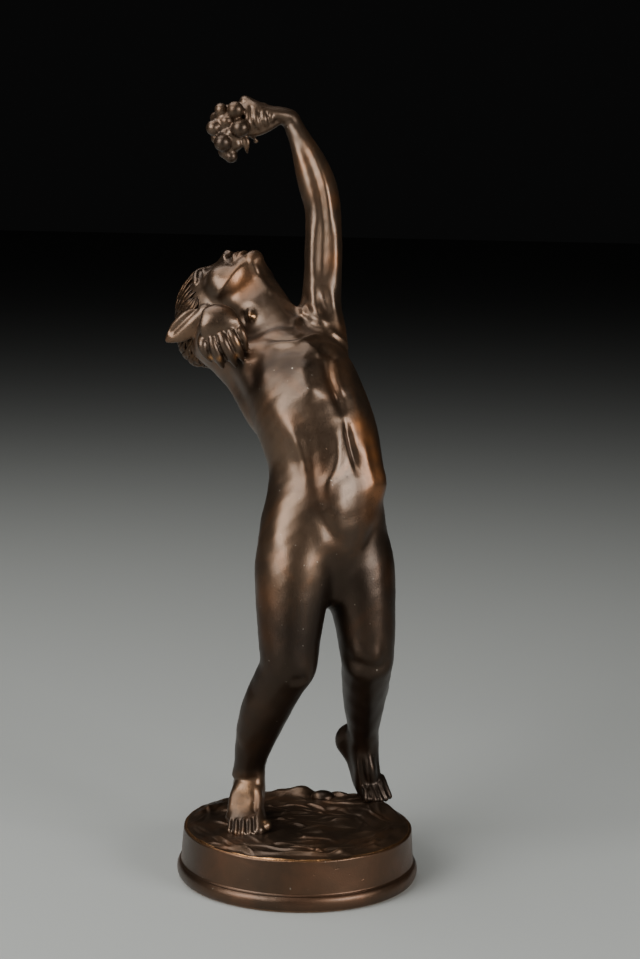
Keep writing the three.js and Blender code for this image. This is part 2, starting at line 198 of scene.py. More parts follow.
class Clay:
    """Lumps of clay, each a closed shape of its own until they are joined."""

    CAP_ANGLES = (0.35, 0.7, 1.05, 1.35)
    BALL_SIDES = 28
    # Balls larger than this are made twice as fine
    LARGE_BALL = 7

    def __init__(self):
        self.lumps = []

    def keep(self, bm):
        bmesh.ops.recalc_face_normals(bm, faces=bm.faces)
        lump = bpy.data.meshes.new("lump")
        bm.to_mesh(lump)
        bm.free()
        self.lumps.append(lump)

    def ball(self, centre, radii, direction=UP, across=ACROSS):
        """An ellipsoid, its radii along across, the third way and direction."""
        size = Vector((radii,) * 3) if isinstance(radii, (int, float)) else Vector(radii)
        place = Matrix.Translation(centre) @ (turn_to(direction, across) @ Matrix.Diagonal(size)).to_4x4()
        bm = bmesh.new()
        sides = self.BALL_SIDES * (2 if max(size) > self.LARGE_BALL else 1)
        bmesh.ops.create_uvsphere(bm, u_segments=sides, v_segments=sides * 2 // 3, radius=1, matrix=place)
        self.keep(bm)

    def sweep(self, points, halves, across=ACROSS, steps=5, sides=24):
        """A round-ended tube along points, as wide and deep as its half-widths say."""
        pairs = [h if isinstance(h, tuple) else (h, h) for h in halves]
        line = smooth_steps([Vector(p) for p in points], steps)
        wide = smooth_steps([p[0] for p in pairs], steps)
        deep = smooth_steps([p[1] for p in pairs], steps)
        turns = across if isinstance(across, list) else [across] * len(points)
        turns = smooth_steps([Vector(a) for a in turns], steps)
        last = len(line) - 1
        stations = []
        for i, place in enumerate(line):
            heading = (line[min(i + 1, last)] - line[max(i - 1, 0)]).normalized()
            stations.append((place, heading, wide[i], deep[i], turns[i]))
        stations = self.cap(stations[0], -1)[::-1] + stations + self.cap(stations[-1], 1)
        bm = bmesh.new()
        rings = []
        for place, heading, w, h, turn in stations:
            m = Matrix.Translation(place) @ (turn_to(heading, turn) @ Matrix.Diagonal((w, h, 1))).to_4x4()
            ring = bmesh.ops.create_circle(bm, cap_ends=False, segments=sides, radius=1, matrix=m)["verts"]
            rings.append(list({e for v in ring for e in v.link_edges}))
        for a, b in zip(rings, rings[1:]):
            bmesh.ops.bridge_loops(bm, edges=a + b)
        for end in (rings[0], rings[-1]):
            bmesh.ops.contextual_create(bm, geom=end)
        self.keep(bm)

    def cap(self, station, way):
        """Shrinking rings that round off the end of a tube."""
        place, heading, w, h, turn = station
        reach = way * min(w, h)
        return [(place + heading * (reach * math.sin(a)), heading, w * math.cos(a), h * math.cos(a), turn)
                for a in self.CAP_ANGLES]

    def limb(self, start, end, halves, bow=(0, 0, 0), sides=24):
        """A tube between two joints that bows out by a given offset at its middle."""
        last = len(halves) - 1
        points = []
        for i in range(last + 1):
            t = i / last
            points.append(Vector(start).lerp(Vector(end), t) + Vector(bow) * (4 * t * (1 - t)))
        self.sweep(points, halves, sides=sides)

    def join(self, name, *skins):
        """One object of all lumps and of the skins given, which are used up."""
        bm = bmesh.new()
        for lump in self.lumps:
            bm.from_mesh(lump)
            bpy.data.meshes.remove(lump)
        for skin in skins:
            bm.from_mesh(skin.data)
            bpy.data.objects.remove(skin)
        self.lumps = []
        return new_object(name, bm)


def apply_modifiers(ob):
    mesh = bpy.data.meshes.new_from_object(ob.evaluated_get(bpy.context.evaluated_depsgraph_get()))
    ob.modifiers.clear()
    old = ob.data
    ob.data = mesh
    bpy.data.meshes.remove(old)


def press(ob, voxel):
    """Presses overlapping lumps into one skin."""
    remesh = ob.modifiers.new("press", "REMESH")
    remesh.mode = "VOXEL"
    remesh.voxel_size = voxel
    remesh.adaptivity = 0
    apply_modifiers(ob)


def soften(ob, times):
    smooth = ob.modifiers.new("soften", "SMOOTH")
    smooth.factor = 0.5
    smooth.iterations = times
    apply_modifiers(ob)


def draw_together(ob, times, weight):
    """Evens out a skin as far as each point's weight says."""
    skin = Skin(ob)
    pairs = edge_pairs(ob)
    skin.points = relax(skin.points, pairs, times, weight(skin.points))
    skin.write()


def edge_pairs(ob):
    edges = np.empty(len(ob.data.edges) * 2, int)
    ob.data.edges.foreach_get("vertices", edges)
    return edges.reshape(-1, 2).T


def relax(values, pairs, times, weight=1.0):
    """Values after being drawn to the mean of their neighbours some times."""
    a, b = pairs
    count = len(values)
    share = np.maximum(np.bincount(a, minlength=count) + np.bincount(b, minlength=count), 1)[:, None]
    pull = EASE * np.broadcast_to(np.atleast_1d(weight), (count,))[:, None]
    for _ in range(times):
        total = np.stack([np.bincount(a, values[b, k], count) + np.bincount(b, values[a, k], count)
                          for k in range(values.shape[1])], 1)
        values = values + pull * (total / share - values)
    return values


def thin_out(ob, most):
    """Brings the skin down to a number of triangles, keeping those where it bends."""
    ob.data.calc_loop_triangles()
    decimate = ob.modifiers.new("thin", "DECIMATE")
    decimate.ratio = min(1.0, most / len(ob.data.loop_triangles))
    apply_modifiers(ob)


# Sculpting: strokes that push the skin in and out

Stroke = namedtuple("Stroke", "marks width push ends pinch", defaults=(0.3, 0.0))
Swell = namedtuple("Swell", "mark radius push squash", defaults=((1, 1, 1),))


class Skin:
    """A mesh's points and normals, with the strokes of a modelling tool."""

    def __init__(self, ob):
        self.ob = ob
        self.tree = BVHTree.FromObject(ob, bpy.context.evaluated_depsgraph_get())
        count = len(ob.data.vertices)
        self.points = np.empty(count * 3)
        self.normals = np.empty(count * 3)
        ob.data.vertices.foreach_get("co", self.points)
        ob.data.vertices.foreach_get("normal", self.normals)
        self.points = self.points.reshape(-1, 3)
        self.normals = self.normals.reshape(-1, 3)

    def spot(self, mark):
        """The skin's place under a pixel of the photograph, or nearest to a place in millimetres."""
        if len(mark) == 2:
            found = self.tree.ray_cast(CAMERA_PLACE, sight(*mark))
            if found[0]:
                return found[:2]
            return self.tree.find_nearest(at_depth(*mark, MIDDLE_DEPTH))[:2]
        return self.tree.find_nearest(Vector(mark))[:2]

    def line(self, marks, spacing):
        """Places and normals along a smooth line over the skin."""
        rough = [self.spot(m)[0] for m in marks]
        length = sum((b - a).length for a, b in zip(rough, rough[1:]))
        steps = max(2, math.ceil(length / spacing / (len(rough) - 1)))
        found = [self.tree.find_nearest(p)[:2] for p in smooth_steps(rough, steps)]
        return np.array([f[0] for f in found]), np.array([f[1] for f in found])

    def around(self, low, high):
        return np.nonzero(((self.points > low) & (self.points < high)).all(1))[0]

    def stroke(self, marks, width, push, ends=0.3, pinch=0.0):
        """A groove, or with a push above nought a ridge, along marks on the skin."""
        places, facings = self.line(marks, width / 2)
        reach = width * TELLING_WIDTHS
        near = self.around(places.min(0) - reach, places.max(0) + reach)
        points, normals = self.points[near], self.normals[near]
        starts, steps = places[:-1], np.diff(places, axis=0)
        share = ((points[:, None] - starts) * steps).sum(2) / np.maximum((steps ** 2).sum(1), 1e-9)
        share = np.clip(share, 0, 1)
        gaps = starts + share[..., None] * steps - points[:, None]
        nearest = (gaps ** 2).sum(2).argmin(1)
        rows = np.arange(len(near))
        share, gap = share[rows, nearest], gaps[rows, nearest]
        along = (nearest + share) / len(steps)
        fade = np.clip(np.minimum(along, 1 - along) / ends, 0, 1)
        facing = facings[nearest] * (1 - share)[:, None] + facings[nearest + 1] * share[:, None]
        facing = np.clip((normals * facing).sum(1) * 2, 0, 1)
        weight = np.exp(-(np.sqrt((gap ** 2).sum(1)) / width) ** 2) * fade * fade * (3 - 2 * fade) * facing
        move = normals * (weight * push)[:, None]
        gap -= normals * (gap * normals).sum(1)[:, None]
        self.points[near] += move + gap * (weight * pinch)[:, None]

    def swell(self, mark, radius, push, squash=(1, 1, 1)):
        """A soft rise, or with a push below nought a hollow, round one mark."""
        place, facing = self.spot(mark)
        place, reach = np.array(place), radius * TELLING_WIDTHS
        near = self.around(place - reach, place + reach)
        gap = (self.points[near] - place) / np.array(squash)
        weight = np.exp(-(gap ** 2).sum(1) / radius ** 2)
        weight *= np.clip(self.normals[near] @ np.array(facing) * 2, 0, 1)
        self.points[near] += self.normals[near] * (weight * push)[:, None]

    def scrape(self, centre, facing, radius, amount):
        """Flattens what stands out of a plane near its centre."""
        centre, facing = np.array(centre), np.array(Vector(facing).normalized())
        near = self.around(centre - radius, centre + radius)
        gap = self.points[near] - centre
        height = gap @ facing
        dist = np.sqrt((gap ** 2).sum(1)) / radius
        weight = np.clip(1 - dist, 0, 1)
        weight = weight * weight * (3 - 2 * weight)
        self.points[near] -= facing * (np.clip(height, 0, None) * weight * amount)[:, None]

    def work(self, marks):
        """Makes the strokes and swells of a table in their order."""
        for mark in marks.values():
            if isinstance(mark, Stroke):
                self.stroke(*mark)
            else:
                self.swell(*mark)

    def write(self):
        self.ob.data.vertices.foreach_set("co", self.points.ravel())
        self.ob.data.update()


# The figure's masses

SPINE = [on_hips(0, 0, -20), JOINTS["pelvis"], Vector((9.5, 7, 188.5)), Vector((10.8, 11.5, 201)),
         Vector((6.5, 14.5, 217)), Vector((0.5, 20.5, 233)), Vector((-5.5, 30, 248)), JOINTS["collar"]]
TRUNK_GIRTHS = [(23, 19), (29.5, 23), (28.2, 24), (27.8, 24), (29, 25), (28.6, 26), (27.2, 22), (21, 13)]
# How far the trunk is turned to the viewer's right at each of its girths, in degrees
TRUNK_TURNS = (28, 22, 10, 5, 5, 9, 18, 30)

BELLY_TURN = turned(ACROSS, UP, 10)
BELLY = [Vector((12, 2, 168)), Vector((13.5, -4, 177)), Vector((13, -1.5, 190)), Vector((11, 5, 204))]
BELLY_GIRTHS = [(13, 10), (16.5, 14.5), (14, 15), (10, 12)]

# Masses on either side: how far to the left, in front and up, and their radii
HIP_MASSES = (((13, -9.5, -8), (17.5, 17, 20)), ((17, -2, 2), (15, 20, 20)))
BREAST, BREAST_RADII = (15, -11, 4), (14, 10, 17)
BLADES = (((-13, 7, 4), (17.5, 13, 19)), ((13, 8, 6), (14, 12, 20)))
RIBS, RIBS_RADII = Vector((-8, 16, 243)), (19, 15, 12)

# The wall of the armpit, from the bent elbow to the side of the chest
ARMPIT_WALL = [Vector((-43, 44, 247)), Vector((-34.5, 38, 240)), Vector((-28, 31, 231)),
               Vector((-22, 24, 221))]
ARMPIT_WALL_GIRTHS = [6.2, 7, 7.6, 7]


def shape_trunk(clay):
    turns = [turned(ACROSS, UP, degrees) for degrees in TRUNK_TURNS]
    clay.sweep(SPINE, TRUNK_GIRTHS, turns, steps=10, sides=72)
    clay.sweep(BELLY, BELLY_GIRTHS, BELLY_TURN, steps=10, sides=48)
    for side in (-1, 1):
        for (left, front, up), radii in HIP_MASSES:
            clay.ball(on_hips(side * left, front, up), radii, UP, LEFT)
        left, front, up = BREAST
        clay.ball(on_chest(side * left, front, up), BREAST_RADII, LEAN, CHEST_LEFT)
    for place, radii in BLADES:
        clay.ball(on_chest(*place), radii, LEAN, CHEST_LEFT)
    clay.ball(RIBS, RIBS_RADII, UP, BELLY_TURN)
    clay.sweep(ARMPIT_WALL, ARMPIT_WALL_GIRTHS)


# Heights between which the trunk is evened out, and how fast that fades below and above
TRUNK_FOOT, TRUNK_FOOT_FADE = 152, 26
TRUNK_HEAD, TRUNK_HEAD_FADE = 268, 16
LIMB_SHARE = 0.15


def trunk_weight(points):
    """One over the hips, belly and chest, fading out towards the limbs and the neck."""
    low = np.clip((points[:, 2] - TRUNK_FOOT) / TRUNK_FOOT_FADE, 0, 1)
    high = np.clip((TRUNK_HEAD - points[:, 2]) / TRUNK_HEAD_FADE, 0, 1)
    return LIMB_SHARE + (1 - LIMB_SHARE) * low * high


# Places with fine forms, which stay crisp, and how far they reach: head, hands and feet
FINE_PLACES = (((-42, 67, 279), 36), ((-41, 15, 266), 22), ((-28, 56, 368), 26), ((-26, -8, 33), 24),
               ((36, 34, 38), 22))
FINE_FADE = 8


def plain_weight(points):
    """One on the plain skin, nought round the head, hands and feet."""
    weight = np.ones(len(points))
    for place, reach in FINE_PLACES:
        gap = np.sqrt(((points - np.array(place)) ** 2).sum(1))
        weight *= np.clip((gap - reach) / FINE_FADE + 1, 0, 1)
    return weight


# For each leg the thigh's girths and bow, the shin's girths and bow, and its outer side
LEG_FORMS = {
    "r": ([20, 19.8, 18.2, 16.6, 15.2, 14], (-1.2, -2, 0),
          [13.6, 12.8, 12.4, 11.2, 9.2, 7.6], (-3.2, 2, 0), -1),
    "l": ([19, 18.8, 17.2, 15.6, 14.4, 13.2], (1.4, -2, 0),
          [12.8, 12.4, 11.4, 10.2, 8.7, 7.6], (-0.6, 2, 0), 1),
}
KNEECAP_RADII = (7.6, 7, 9)
CALF_RADII = (10, 9, 16)
KNEE_HOLLOW_GIRTHS = [12, 11, 9]


def shape_legs(clay):
    for side, (thigh, thigh_bow, shin, shin_bow, out) in LEG_FORMS.items():
        hip, knee, ankle = (JOINTS[name + side] for name in ("hip_", "knee_", "ankle_"))
        clay.limb(hip, knee, thigh, bow=thigh_bow)
        clay.limb(knee, ankle, shin, bow=shin_bow)
        down = (ankle - knee).normalized()
        behind = (Vector((0, 1, 0)) - down * down.y).normalized()
        clay.ball(knee + Vector((out * 0.7, -6.5, 2)), KNEECAP_RADII)
        clay.ball(knee.lerp(ankle, 0.36) + behind * 4.5 + Vector((out * 2, 0, 0)), CALF_RADII, down)
        clay.limb(knee + Vector((0, 6, 4)), knee.lerp(ankle, 0.3) + Vector((0, 2, 0)), KNEE_HOLLOW_GIRTHS)


def shape_standing_foot(clay):
    """The right foot stands flat."""
    ankle, heel, ball = (JOINTS[name] for name in ("ankle_r", "heel_r", "ball_r"))
    instep = [ankle + Vector((0, 0, 4)), ankle + Vector((0.5, -1.5, -8)), Vector((-25.5, -1, 34.5)),
              ball + Vector((0, -3, -1))]
    clay.sweep(instep, [7.8, (8.4, 9.5), (9.2, 7.6), (10.2, 4.4)])
    back = [ankle + Vector((0, 4, 2)), heel + Vector((0, 0, 4)), heel + Vector((0, -2, -1))]
    clay.sweep(back, [(6.2, 6), (7.2, 7), (7.8, 7)])
    clay.ball(ball + Vector((0, -2, -0.5)), (11, 8.5, 4.6))
    for ankle_bone in ((-6.3, -1, -2), (6, -1.5, -1)):
        clay.ball(ankle + Vector(ankle_bone), 3)


def shape_raised_foot(clay):
    """The left foot stands on its toes."""
    ankle, heel, ball, tread = (JOINTS[name] for name in ("ankle_l", "heel_l", "ball_l", "tread_l"))
    turn = Vector((1, -0.2, 0))
    arch = [ankle + Vector((0, -1, 4)), ankle + Vector((0.5, 1, -6)),
            ankle.lerp(ball, 0.6) + Vector((0.6, 0, 0)),
            ball + Vector((1.2, 0, 0)), tread + Vector((1.8, -1, 0))]
    clay.sweep(arch, [8, 7.8, (7.0, 7.6), (7.4, 6.2), (7.4, 3.6)], turn)
    back = [ankle + Vector((-2, 3, 4)), heel, heel + Vector((5, -2.5, -9)), ball + Vector((-2.5, 3.5, 1))]
    clay.sweep(back, [(6.5, 6.5), (6.6, 6.4), (5.4, 5), (5, 5)], turn)


# Girths of each arm from the chest outwards: shoulder, upper arm and forearm
RAISED_ARM_GIRTHS = ([13, 13.5, 12.5], [12, 10.2, 9.7, 9.8, 9.4, 9.2], [9.3, 9.9, 9.2, 7.8, 6, 4.9])
BENT_ARM_GIRTHS = ([13, 13, 12], [12, 10.6, 10, 9.4, 8.4], [8.2, 8.4, 7.8, 6.6, 5.4])


def shape_arms(clay):
    shoulder, elbow, wrist = (JOINTS[name] for name in ("shoulder_l", "elbow_l", "wrist_l"))
    cap, upper, fore = RAISED_ARM_GIRTHS
    clay.limb(on_chest(18, -1, 14), shoulder, cap)
    clay.limb(shoulder, elbow, upper, bow=(1, 0, 0))
    clay.limb(elbow, wrist, fore, bow=(1.4, 0, 0))
    shoulder, elbow, wrist = (JOINTS[name] for name in ("shoulder_r", "elbow_r", "wrist_r"))
    cap, upper, fore = BENT_ARM_GIRTHS
    clay.limb(on_chest(-17, 0, 17), shoulder, cap)
    clay.limb(shoulder, elbow, upper, bow=(0, 0, -1))
    clay.limb(elbow, wrist, fore)


# The head's masses, to the right, outward and up of its middle, and their radii
SKULL = ((0, -4, 4.5), (21.2, 23.4, 23.8))
JAW = ((0, 5.5, -11), (17.5, 15, 17))
CHIN_MASS = ((0, 12, -20), (10, 8.5, 9))
CHEEK_RADII = (10, 10, 10)
BACK_OF_HEAD_RADIUS = 14


def shape_head(clay):
    """Neck, skull, jaw and cheeks."""
    neck, throat = JOINTS["neck"], JOINTS["throat"]
    clay.sweep([neck, neck.lerp(throat, 0.35), neck.lerp(throat, 0.7), throat], [17.5, 16, 15.5, 15])
    for place, radii in (SKULL, JAW, CHIN_MASS):
        clay.ball(on_head(*place), radii, CROWN, HEAD_RIGHT)
    for side in (-1, 1):
        clay.ball(on_head(side * 9.5, 9, -9.5), CHEEK_RADII, CROWN, HEAD_RIGHT)
        clay.ball(on_head(side * 10.5, -14.6, 10.6), BACK_OF_HEAD_RADIUS)


# The finer forms

# The digits of the hand at the brow: marks from the knuckle to the tip, as pixels of the photograph with
# the depth along Y, and the radii at them
BROW_DIGITS = (
    (((205, 331, 19), (202.5, 342, 13), (205, 352, 13), (210.5, 361, 16)), [2.2, 2.6, 2.4, 1.2]),
    (((212, 326, 18.5), (212, 339, 12), (217, 354, 11.4), (222.5, 367, 15)), [2.4, 2.8, 2.6, 1.3]),
    (((219, 324, 18), (221.5, 336, 11.4), (228, 350, 10.8), (236, 366, 15)), [2.4, 2.9, 2.7, 1.4]),
    (((227, 322, 18), (231, 333, 11.8), (237, 346, 11.2), (242.5, 360, 15.5)), [2.3, 2.7, 2.4, 1.3]),
    (((233, 320, 19), (239, 329, 14), (244, 339, 13.6), (246.5, 349, 16.5)), [2.2, 2.4, 2.1, 1.2]),
)
# The web that the digits lie on, with its half-widths
BROW_WEB = ((218, 331, 14.5), (224, 345, 13.2), (229, 357, 15))
BROW_WEB_GIRTHS = [(9.6, 3.0), (9.4, 2.6), (7.4, 2.0)]

# The fingers round the bunch, marked in the same way, each with one radius
GRAPE_FINGERS = (
    (((249, 103, 57), (247, 109, 53), (249, 120, 51.2), (253, 130, 53)), 2.3),
    (((256, 105, 56.5), (254.5, 111, 52.6), (256.5, 121, 50.8), (260, 129, 53)), 2.4),
    (((263.5, 107, 56.5), (263, 112, 52.8), (264, 119.5, 51.2), (266.5, 126.5, 53.5)), 2.3),
    (((271, 109, 57), (271, 113, 53.6), (271, 118, 52.2), (271.5, 123, 54.5)), 2.0),
)
FINGER_TAPER = (1, 1.05, 1, 0.85)
HEEL_OF_HAND = ((248, 131.5, 54), (258, 130.5, 54), (267, 126.5, 54.5), (277, 120.5, 56))
HEEL_OF_HAND_GIRTHS = [2.2, 2.8, 2.8, 2.6]
PALM = (258, 118, 56)
PALM_RADII = (8, 6, 6)


def at_marks(marks):
    """The places of marks that are pixels with a depth."""
    return [at_depth(*mark) for mark in marks]


def shape_brow_hand(clay):
    """The hand droops over the brow: a rounded back from the wrist and five digits that hang and curl in."""
    wrist = JOINTS["wrist_r"]
    back = [wrist + Vector(offset) for offset in ((-1, 4, -2), (1.5, -1.5, 0), (3, -4, -4), (4.5, -4, -9))]
    clay.sweep(back, [(5.6, 5), (8, 4.6), (10, 4), (10, 3)], Vector((1, 0.1, 0.1)))
    clay.sweep(at_marks(BROW_WEB), BROW_WEB_GIRTHS, Vector((1, 0.1, 0.3)))
    for marks, radii in BROW_DIGITS:
        clay.sweep(at_marks(marks), radii, sides=16)


def shape_grape_hand(clay):
    """The hand is bent over at the wrist and closes round the stalk of the bunch."""
    wrist = JOINTS["wrist_l"]
    offsets = ((0, 0, 0), (-1, 0, 1.4), (-6, 0, 2.9), (-12, 0, 3.9), (-18, 0, 6), (-23.5, 0, 9.4))
    back = [wrist + Vector(offset) for offset in offsets]
    clay.sweep(back, [(4.9, 5), (4.6, 5), (4.2, 6.5), (4, 7.5), (3.8, 7.5), (2.8, 4.5)], Vector((0.2, 0, 1)))
    clay.sweep(at_marks(HEEL_OF_HAND), HEEL_OF_HAND_GIRTHS)
    for marks, radius in GRAPE_FINGERS:
        clay.sweep(at_marks(marks), [radius * share for share in FINGER_TAPER], sides=16)
    clay.ball(at_depth(*PALM), PALM_RADII)


# Grapes as pixels of their middle in the photograph, the depth along Y and the radius in millimetres: those
# in front, then those behind them, then the core that they grow from
GRAPES = (
    (235.3, 110, 49, 4.3), (221, 109.5, 54, 3.4), (213.5, 128, 54, 4.1), (240.5, 128, 48.5, 4.7),
    (226.5, 121, 53, 3.3), (222.5, 143, 51, 4.5), (231, 157, 55.5, 3.3), (236, 144, 54.5, 3.4),
    (216, 118, 61, 3.5), (217, 138, 62, 3.6), (232, 140, 64, 4.0), (240, 119, 63, 3.8),
    (228, 112, 65, 3.8), (228, 127, 67, 4.0), (224, 152, 60, 3.4), (244, 135, 60, 3.2), (230.5, 133, 52, 2.8),
    (228, 122, 58, 7.5), (231, 136, 57, 7.0), (229, 148, 57, 4.8), (242, 114, 57, 6.0), (227, 154, 57, 3.4),
    (245, 122, 56, 5.0),
)
STALK_NUBS = ((253, 136, 55, 1.5), (256, 141, 56, 1.3), (250, 133, 55, 1.7))
GRAPE_LEAF = ((243, 136, 54), (246, 141, 53.5), (246.5, 147, 54), (247.5, 153, 55.5))
GRAPE_LEAF_GIRTHS = [(1.3, 1.1), (1.8, 1.1), (1.5, 1.0), (0.6, 0.5)]

FALLEN_GRAPE = Vector((-15.7, -16, 28.6))
FALLEN_GRAPE_RADIUS = 3.2
BOULDER = Vector((12.2, 41, 26.4))
BOULDER_RADII = (6.6, 5.8, 3.6)


def shape_grapes(clay):
    for px, py, depth, radius in GRAPES + STALK_NUBS:
        clay.ball(at_depth(px, py, depth), radius)
    clay.sweep(at_marks(GRAPE_LEAF), GRAPE_LEAF_GIRTHS)
    clay.ball(FALLEN_GRAPE, FALLEN_GRAPE_RADIUS)
    clay.ball(BOULDER, BOULDER_RADII)


# Toes of the standing foot from the little one to the great one
TOE_RADII = (2.1, 2.2, 2.3, 2.5, 3.3)
LITTLE_TOE = (-32.3, -14.5, 26.2)
TOE_TAPER = (1.2, 1.02, 0.96, 1.06)
# The width of their row, and how far it bows to the front
TOE_ROW = 13.2
TOE_ARC = 6.5

# Toes of the raised foot: root and tip as pixels with the depth along Y, and the radius
TREAD_TOES = (
    ((366, 784, 33), (367.5, 798.5, 27.5), 2.5), ((370.5, 783, 33), (374.5, 800, 27.5), 1.9),
    ((374.5, 781, 34), (380.5, 800, 28.5), 1.8), ((378.5, 779, 35), (385.5, 798.5, 30.5), 1.7),
    ((381.5, 777, 37), (389.5, 796.5, 33), 1.6),
)
TREAD_TOE_TAPER = (1.05, 1.0, 0.96, 1.0)


def shape_toes(clay):
    outer, front, low = LITTLE_TOE
    for k, radius in enumerate(TOE_RADII):
        t = k / (len(TOE_RADII) - 1)
        bow = TOE_ARC * math.sin(math.pi * min(t * 0.62 + 0.12, 1))
        tip = Vector((outer + TOE_ROW * t, front - bow, low + (radius - 2.2) * 0.8))
        halves = [radius * share for share in TOE_TAPER]
        clay.limb(tip + Vector((0.4 - 0.6 * t, 10, 3.4)), tip, halves, bow=(0, 0, 1.5), sides=16)
    for root, tip, radius in TREAD_TOES:
        halves = [radius * share for share in TREAD_TOE_TAPER]
        clay.limb(at_depth(*root), at_depth(*tip), halves, bow=(0, -0.5, 0.3), sides=16)


# The leaf shape of an ear, to the right, outward and up of the head's middle, with its half-widths
EAR_ROOT = (20, -2.5, -3)
EAR_TIP = (31, -10.5, 20)
# How far along the ear it swells sideways, and by how much
EAR_SWELLS = ((0.35, 1.5), (0.7, 1))
EAR_GIRTHS = [(4.5, 2.6), (6.8, 2.4), (6.0, 2.0), (1.8, 1)]


def shape_ears(clay):
    """Long leaf-shaped ears."""
    for side in (1, -1):
        root, tip = (on_head(side * right, out, up) for right, out, up in (EAR_ROOT, EAR_TIP))
        middle = [root.lerp(tip, t) + HEAD_RIGHT * (side * lift) for t, lift in EAR_SWELLS]
        clay.sweep([root, *middle, tip], EAR_GIRTHS, FACE, sides=16)


# One wattle as a pixel of the photograph, and the one behind it as a place in millimetres
WATTLES = ((252, 316.5), (-5.0, 66.0, 287.0))
WATTLE_GIRTHS = [1.5, 1.9, 2.3]


def shape_wattles(clay, skin):
    """The two small wattles of a faun's throat, hanging from short necks."""
    for mark in WATTLES:
        place, facing = skin.spot(mark)
        root = place + facing * -1.0 + Vector((-1.6, 0, 2.6))
        neck = place + facing * 0.6 + Vector((-0.4, 0, 1.2))
        clay.sweep([root, neck, place + facing * 1.0], WATTLE_GIRTHS, sides=16)


# The face on plain proportions, to the right, outward and up of the head's middle, with half-widths
FACE_FORMS = {
    "brow": ([(-14, 13.4, 4.5), (-8, 17.4, 6.5), (0, 18, 5.5), (8, 17.4, 6.5), (14, 13.4, 4.5)],
             [1.6, 2.4, 2.2, 2.4, 1.6]),
    "nose": ([(0, 18, 4), (0, 18.6, -2), (0, 20, -6.5), (0, 21.8, -9.6)],
             [(1.9, 2.2), (2.1, 2.5), (2.8, 3.1), (3.1, 3.3)]),
    "upper lip": ([(-6.4, 18.4, -17), (-2.8, 20.6, -15.8), (0, 21, -16.2), (2.8, 20.6, -15.8),
                   (6.4, 18.4, -17)], [0.6, 1.5, 1.6, 1.5, 0.6]),
    "lower lip": ([(-5.4, 18.4, -17.8), (-2.2, 20.2, -19), (0, 20.5, -19.2), (2.2, 20.2, -19),
                   (5.4, 18.4, -17.8)], [0.6, 1.6, 1.7, 1.6, 0.6]),
}
CHIN, CHIN_RADII = (0, 16, -24.5), (6, 5.2, 4.8)

# On either side: nostril, eyeball and the rims of the lids
NOSTRIL, NOSTRIL_RADII = (3.1, 21, -9.8), (1.9, 2.5, 1.9)
EYE, EYE_RADII = (8.3, 13, -0.4), (5.2, 5, 4.6)
LID_RIMS = (
    ([(3.9, 16.6, -1), (8, 18.7, 1.9), (12.8, 15, -0.6)], [0.6, 0.95, 0.6]),
    ([(3.9, 16.4, -1.4), (8, 17.7, -3.2), (12.8, 14.8, -1.2)], [0.5, 0.7, 0.5]),
)


def shape_face(clay):
    """Brow, eyes, nose, lips and chin, with the eye line at mid-height."""
    for places, halves in FACE_FORMS.values():
        clay.sweep([on_head(*place) for place in places], halves, HEAD_RIGHT, sides=16)
    clay.ball(on_head(*CHIN), CHIN_RADII, CROWN, HEAD_RIGHT)
    for side in (-1, 1):
        for (right, out, up), radii in ((NOSTRIL, NOSTRIL_RADII), (EYE, EYE_RADII)):
            clay.ball(on_head(side * right, out, up), radii, CROWN, HEAD_RIGHT)
        for places, halves in LID_RIMS:
            points = [on_head(side * right, out, up) for right, out, up in places]
            clay.sweep(points, halves, HEAD_RIGHT, sides=16)


# The hair: a skull in head coordinates, fuller behind the ears, with a whorl that the locks turn out from
SKULL_CENTRE = Vector((0, -4, 4.5))
SKULL_RADII = Vector((21.0, 23.2, 23.6))
WHORL = Vector((0, -0.62, 0.78)).normalized()
BEHIND_EAR = Vector((0.66, -0.63, 0.40))
FULLNESS = 8
FULLNESS_SPREAD = 0.55

# Rows of locks: the angle from the whorl and the number of locks in the row
HAIR_RINGS = ((0.0, 8), (0.14, 14), (0.28, 24), (0.42, 34), (0.56, 44), (0.7, 52), (0.84, 58), (0.98, 64),
              (1.12, 68), (1.26, 72), (1.4, 76), (1.54, 78), (1.68, 78), (1.82, 78), (1.96, 76), (2.1, 72))
HAIR_SEED = 11

# A lock's length as an angle, its stations from root to tip and how wide it is at each
LOCK_REACH = 0.55
LOCK_STEPS = (0, 0.18, 0.36, 0.54, 0.72, 0.88, 1)
LOCK_TAPER = (0.6, 0.9, 1, 1, 0.85, 0.55, 0.2)

# Between which values the locks differ from one another
LOCK_WIDTHS = (1.0, 1.7)
LOCK_HEIGHTS = (-0.2, 0.3)
LOCK_WAVES = (0.02, 0.06)
LOCK_LENGTHS = (0.8, 1.2)

# The turn that all locks share, and how it drifts round the head in broad and narrow waves
HAIR_TURN = 0.12
BROAD_DRIFT = 0.22
NARROW_DRIFT = 0.12

# The hairline: over the brow, down before the ears and under the nape
BROW_LINE = 10
EAR_LINE = 1
NAPE_LINE = -15


def scalp(polar, around, lift):
    """A place above the skull: an angle from the whorl and one round it, in head coordinates."""
    fore = WHORL.cross(ACROSS).normalized()
    ray = WHORL * math.cos(polar) + (ACROSS * math.cos(around) + fore * math.sin(around)) * math.sin(polar)
    reach = Vector((ray.x * SKULL_RADII.x, ray.y * SKULL_RADII.y, ray.z * SKULL_RADII.z))
    behind_ear = (Vector((abs(ray.x), ray.y, ray.z)) - BEHIND_EAR).length
    return SKULL_CENTRE + reach + ray * (lift + FULLNESS * math.exp(-(behind_ear / FULLNESS_SPREAD) ** 2))


def is_face(place):
    """True in front of the hairline."""
    _, out, up = place
    line = EAR_LINE + (BROW_LINE - EAR_LINE) * min(max((out + 6) / 16, 0), 1) if out > -7 else NAPE_LINE
    return up < line


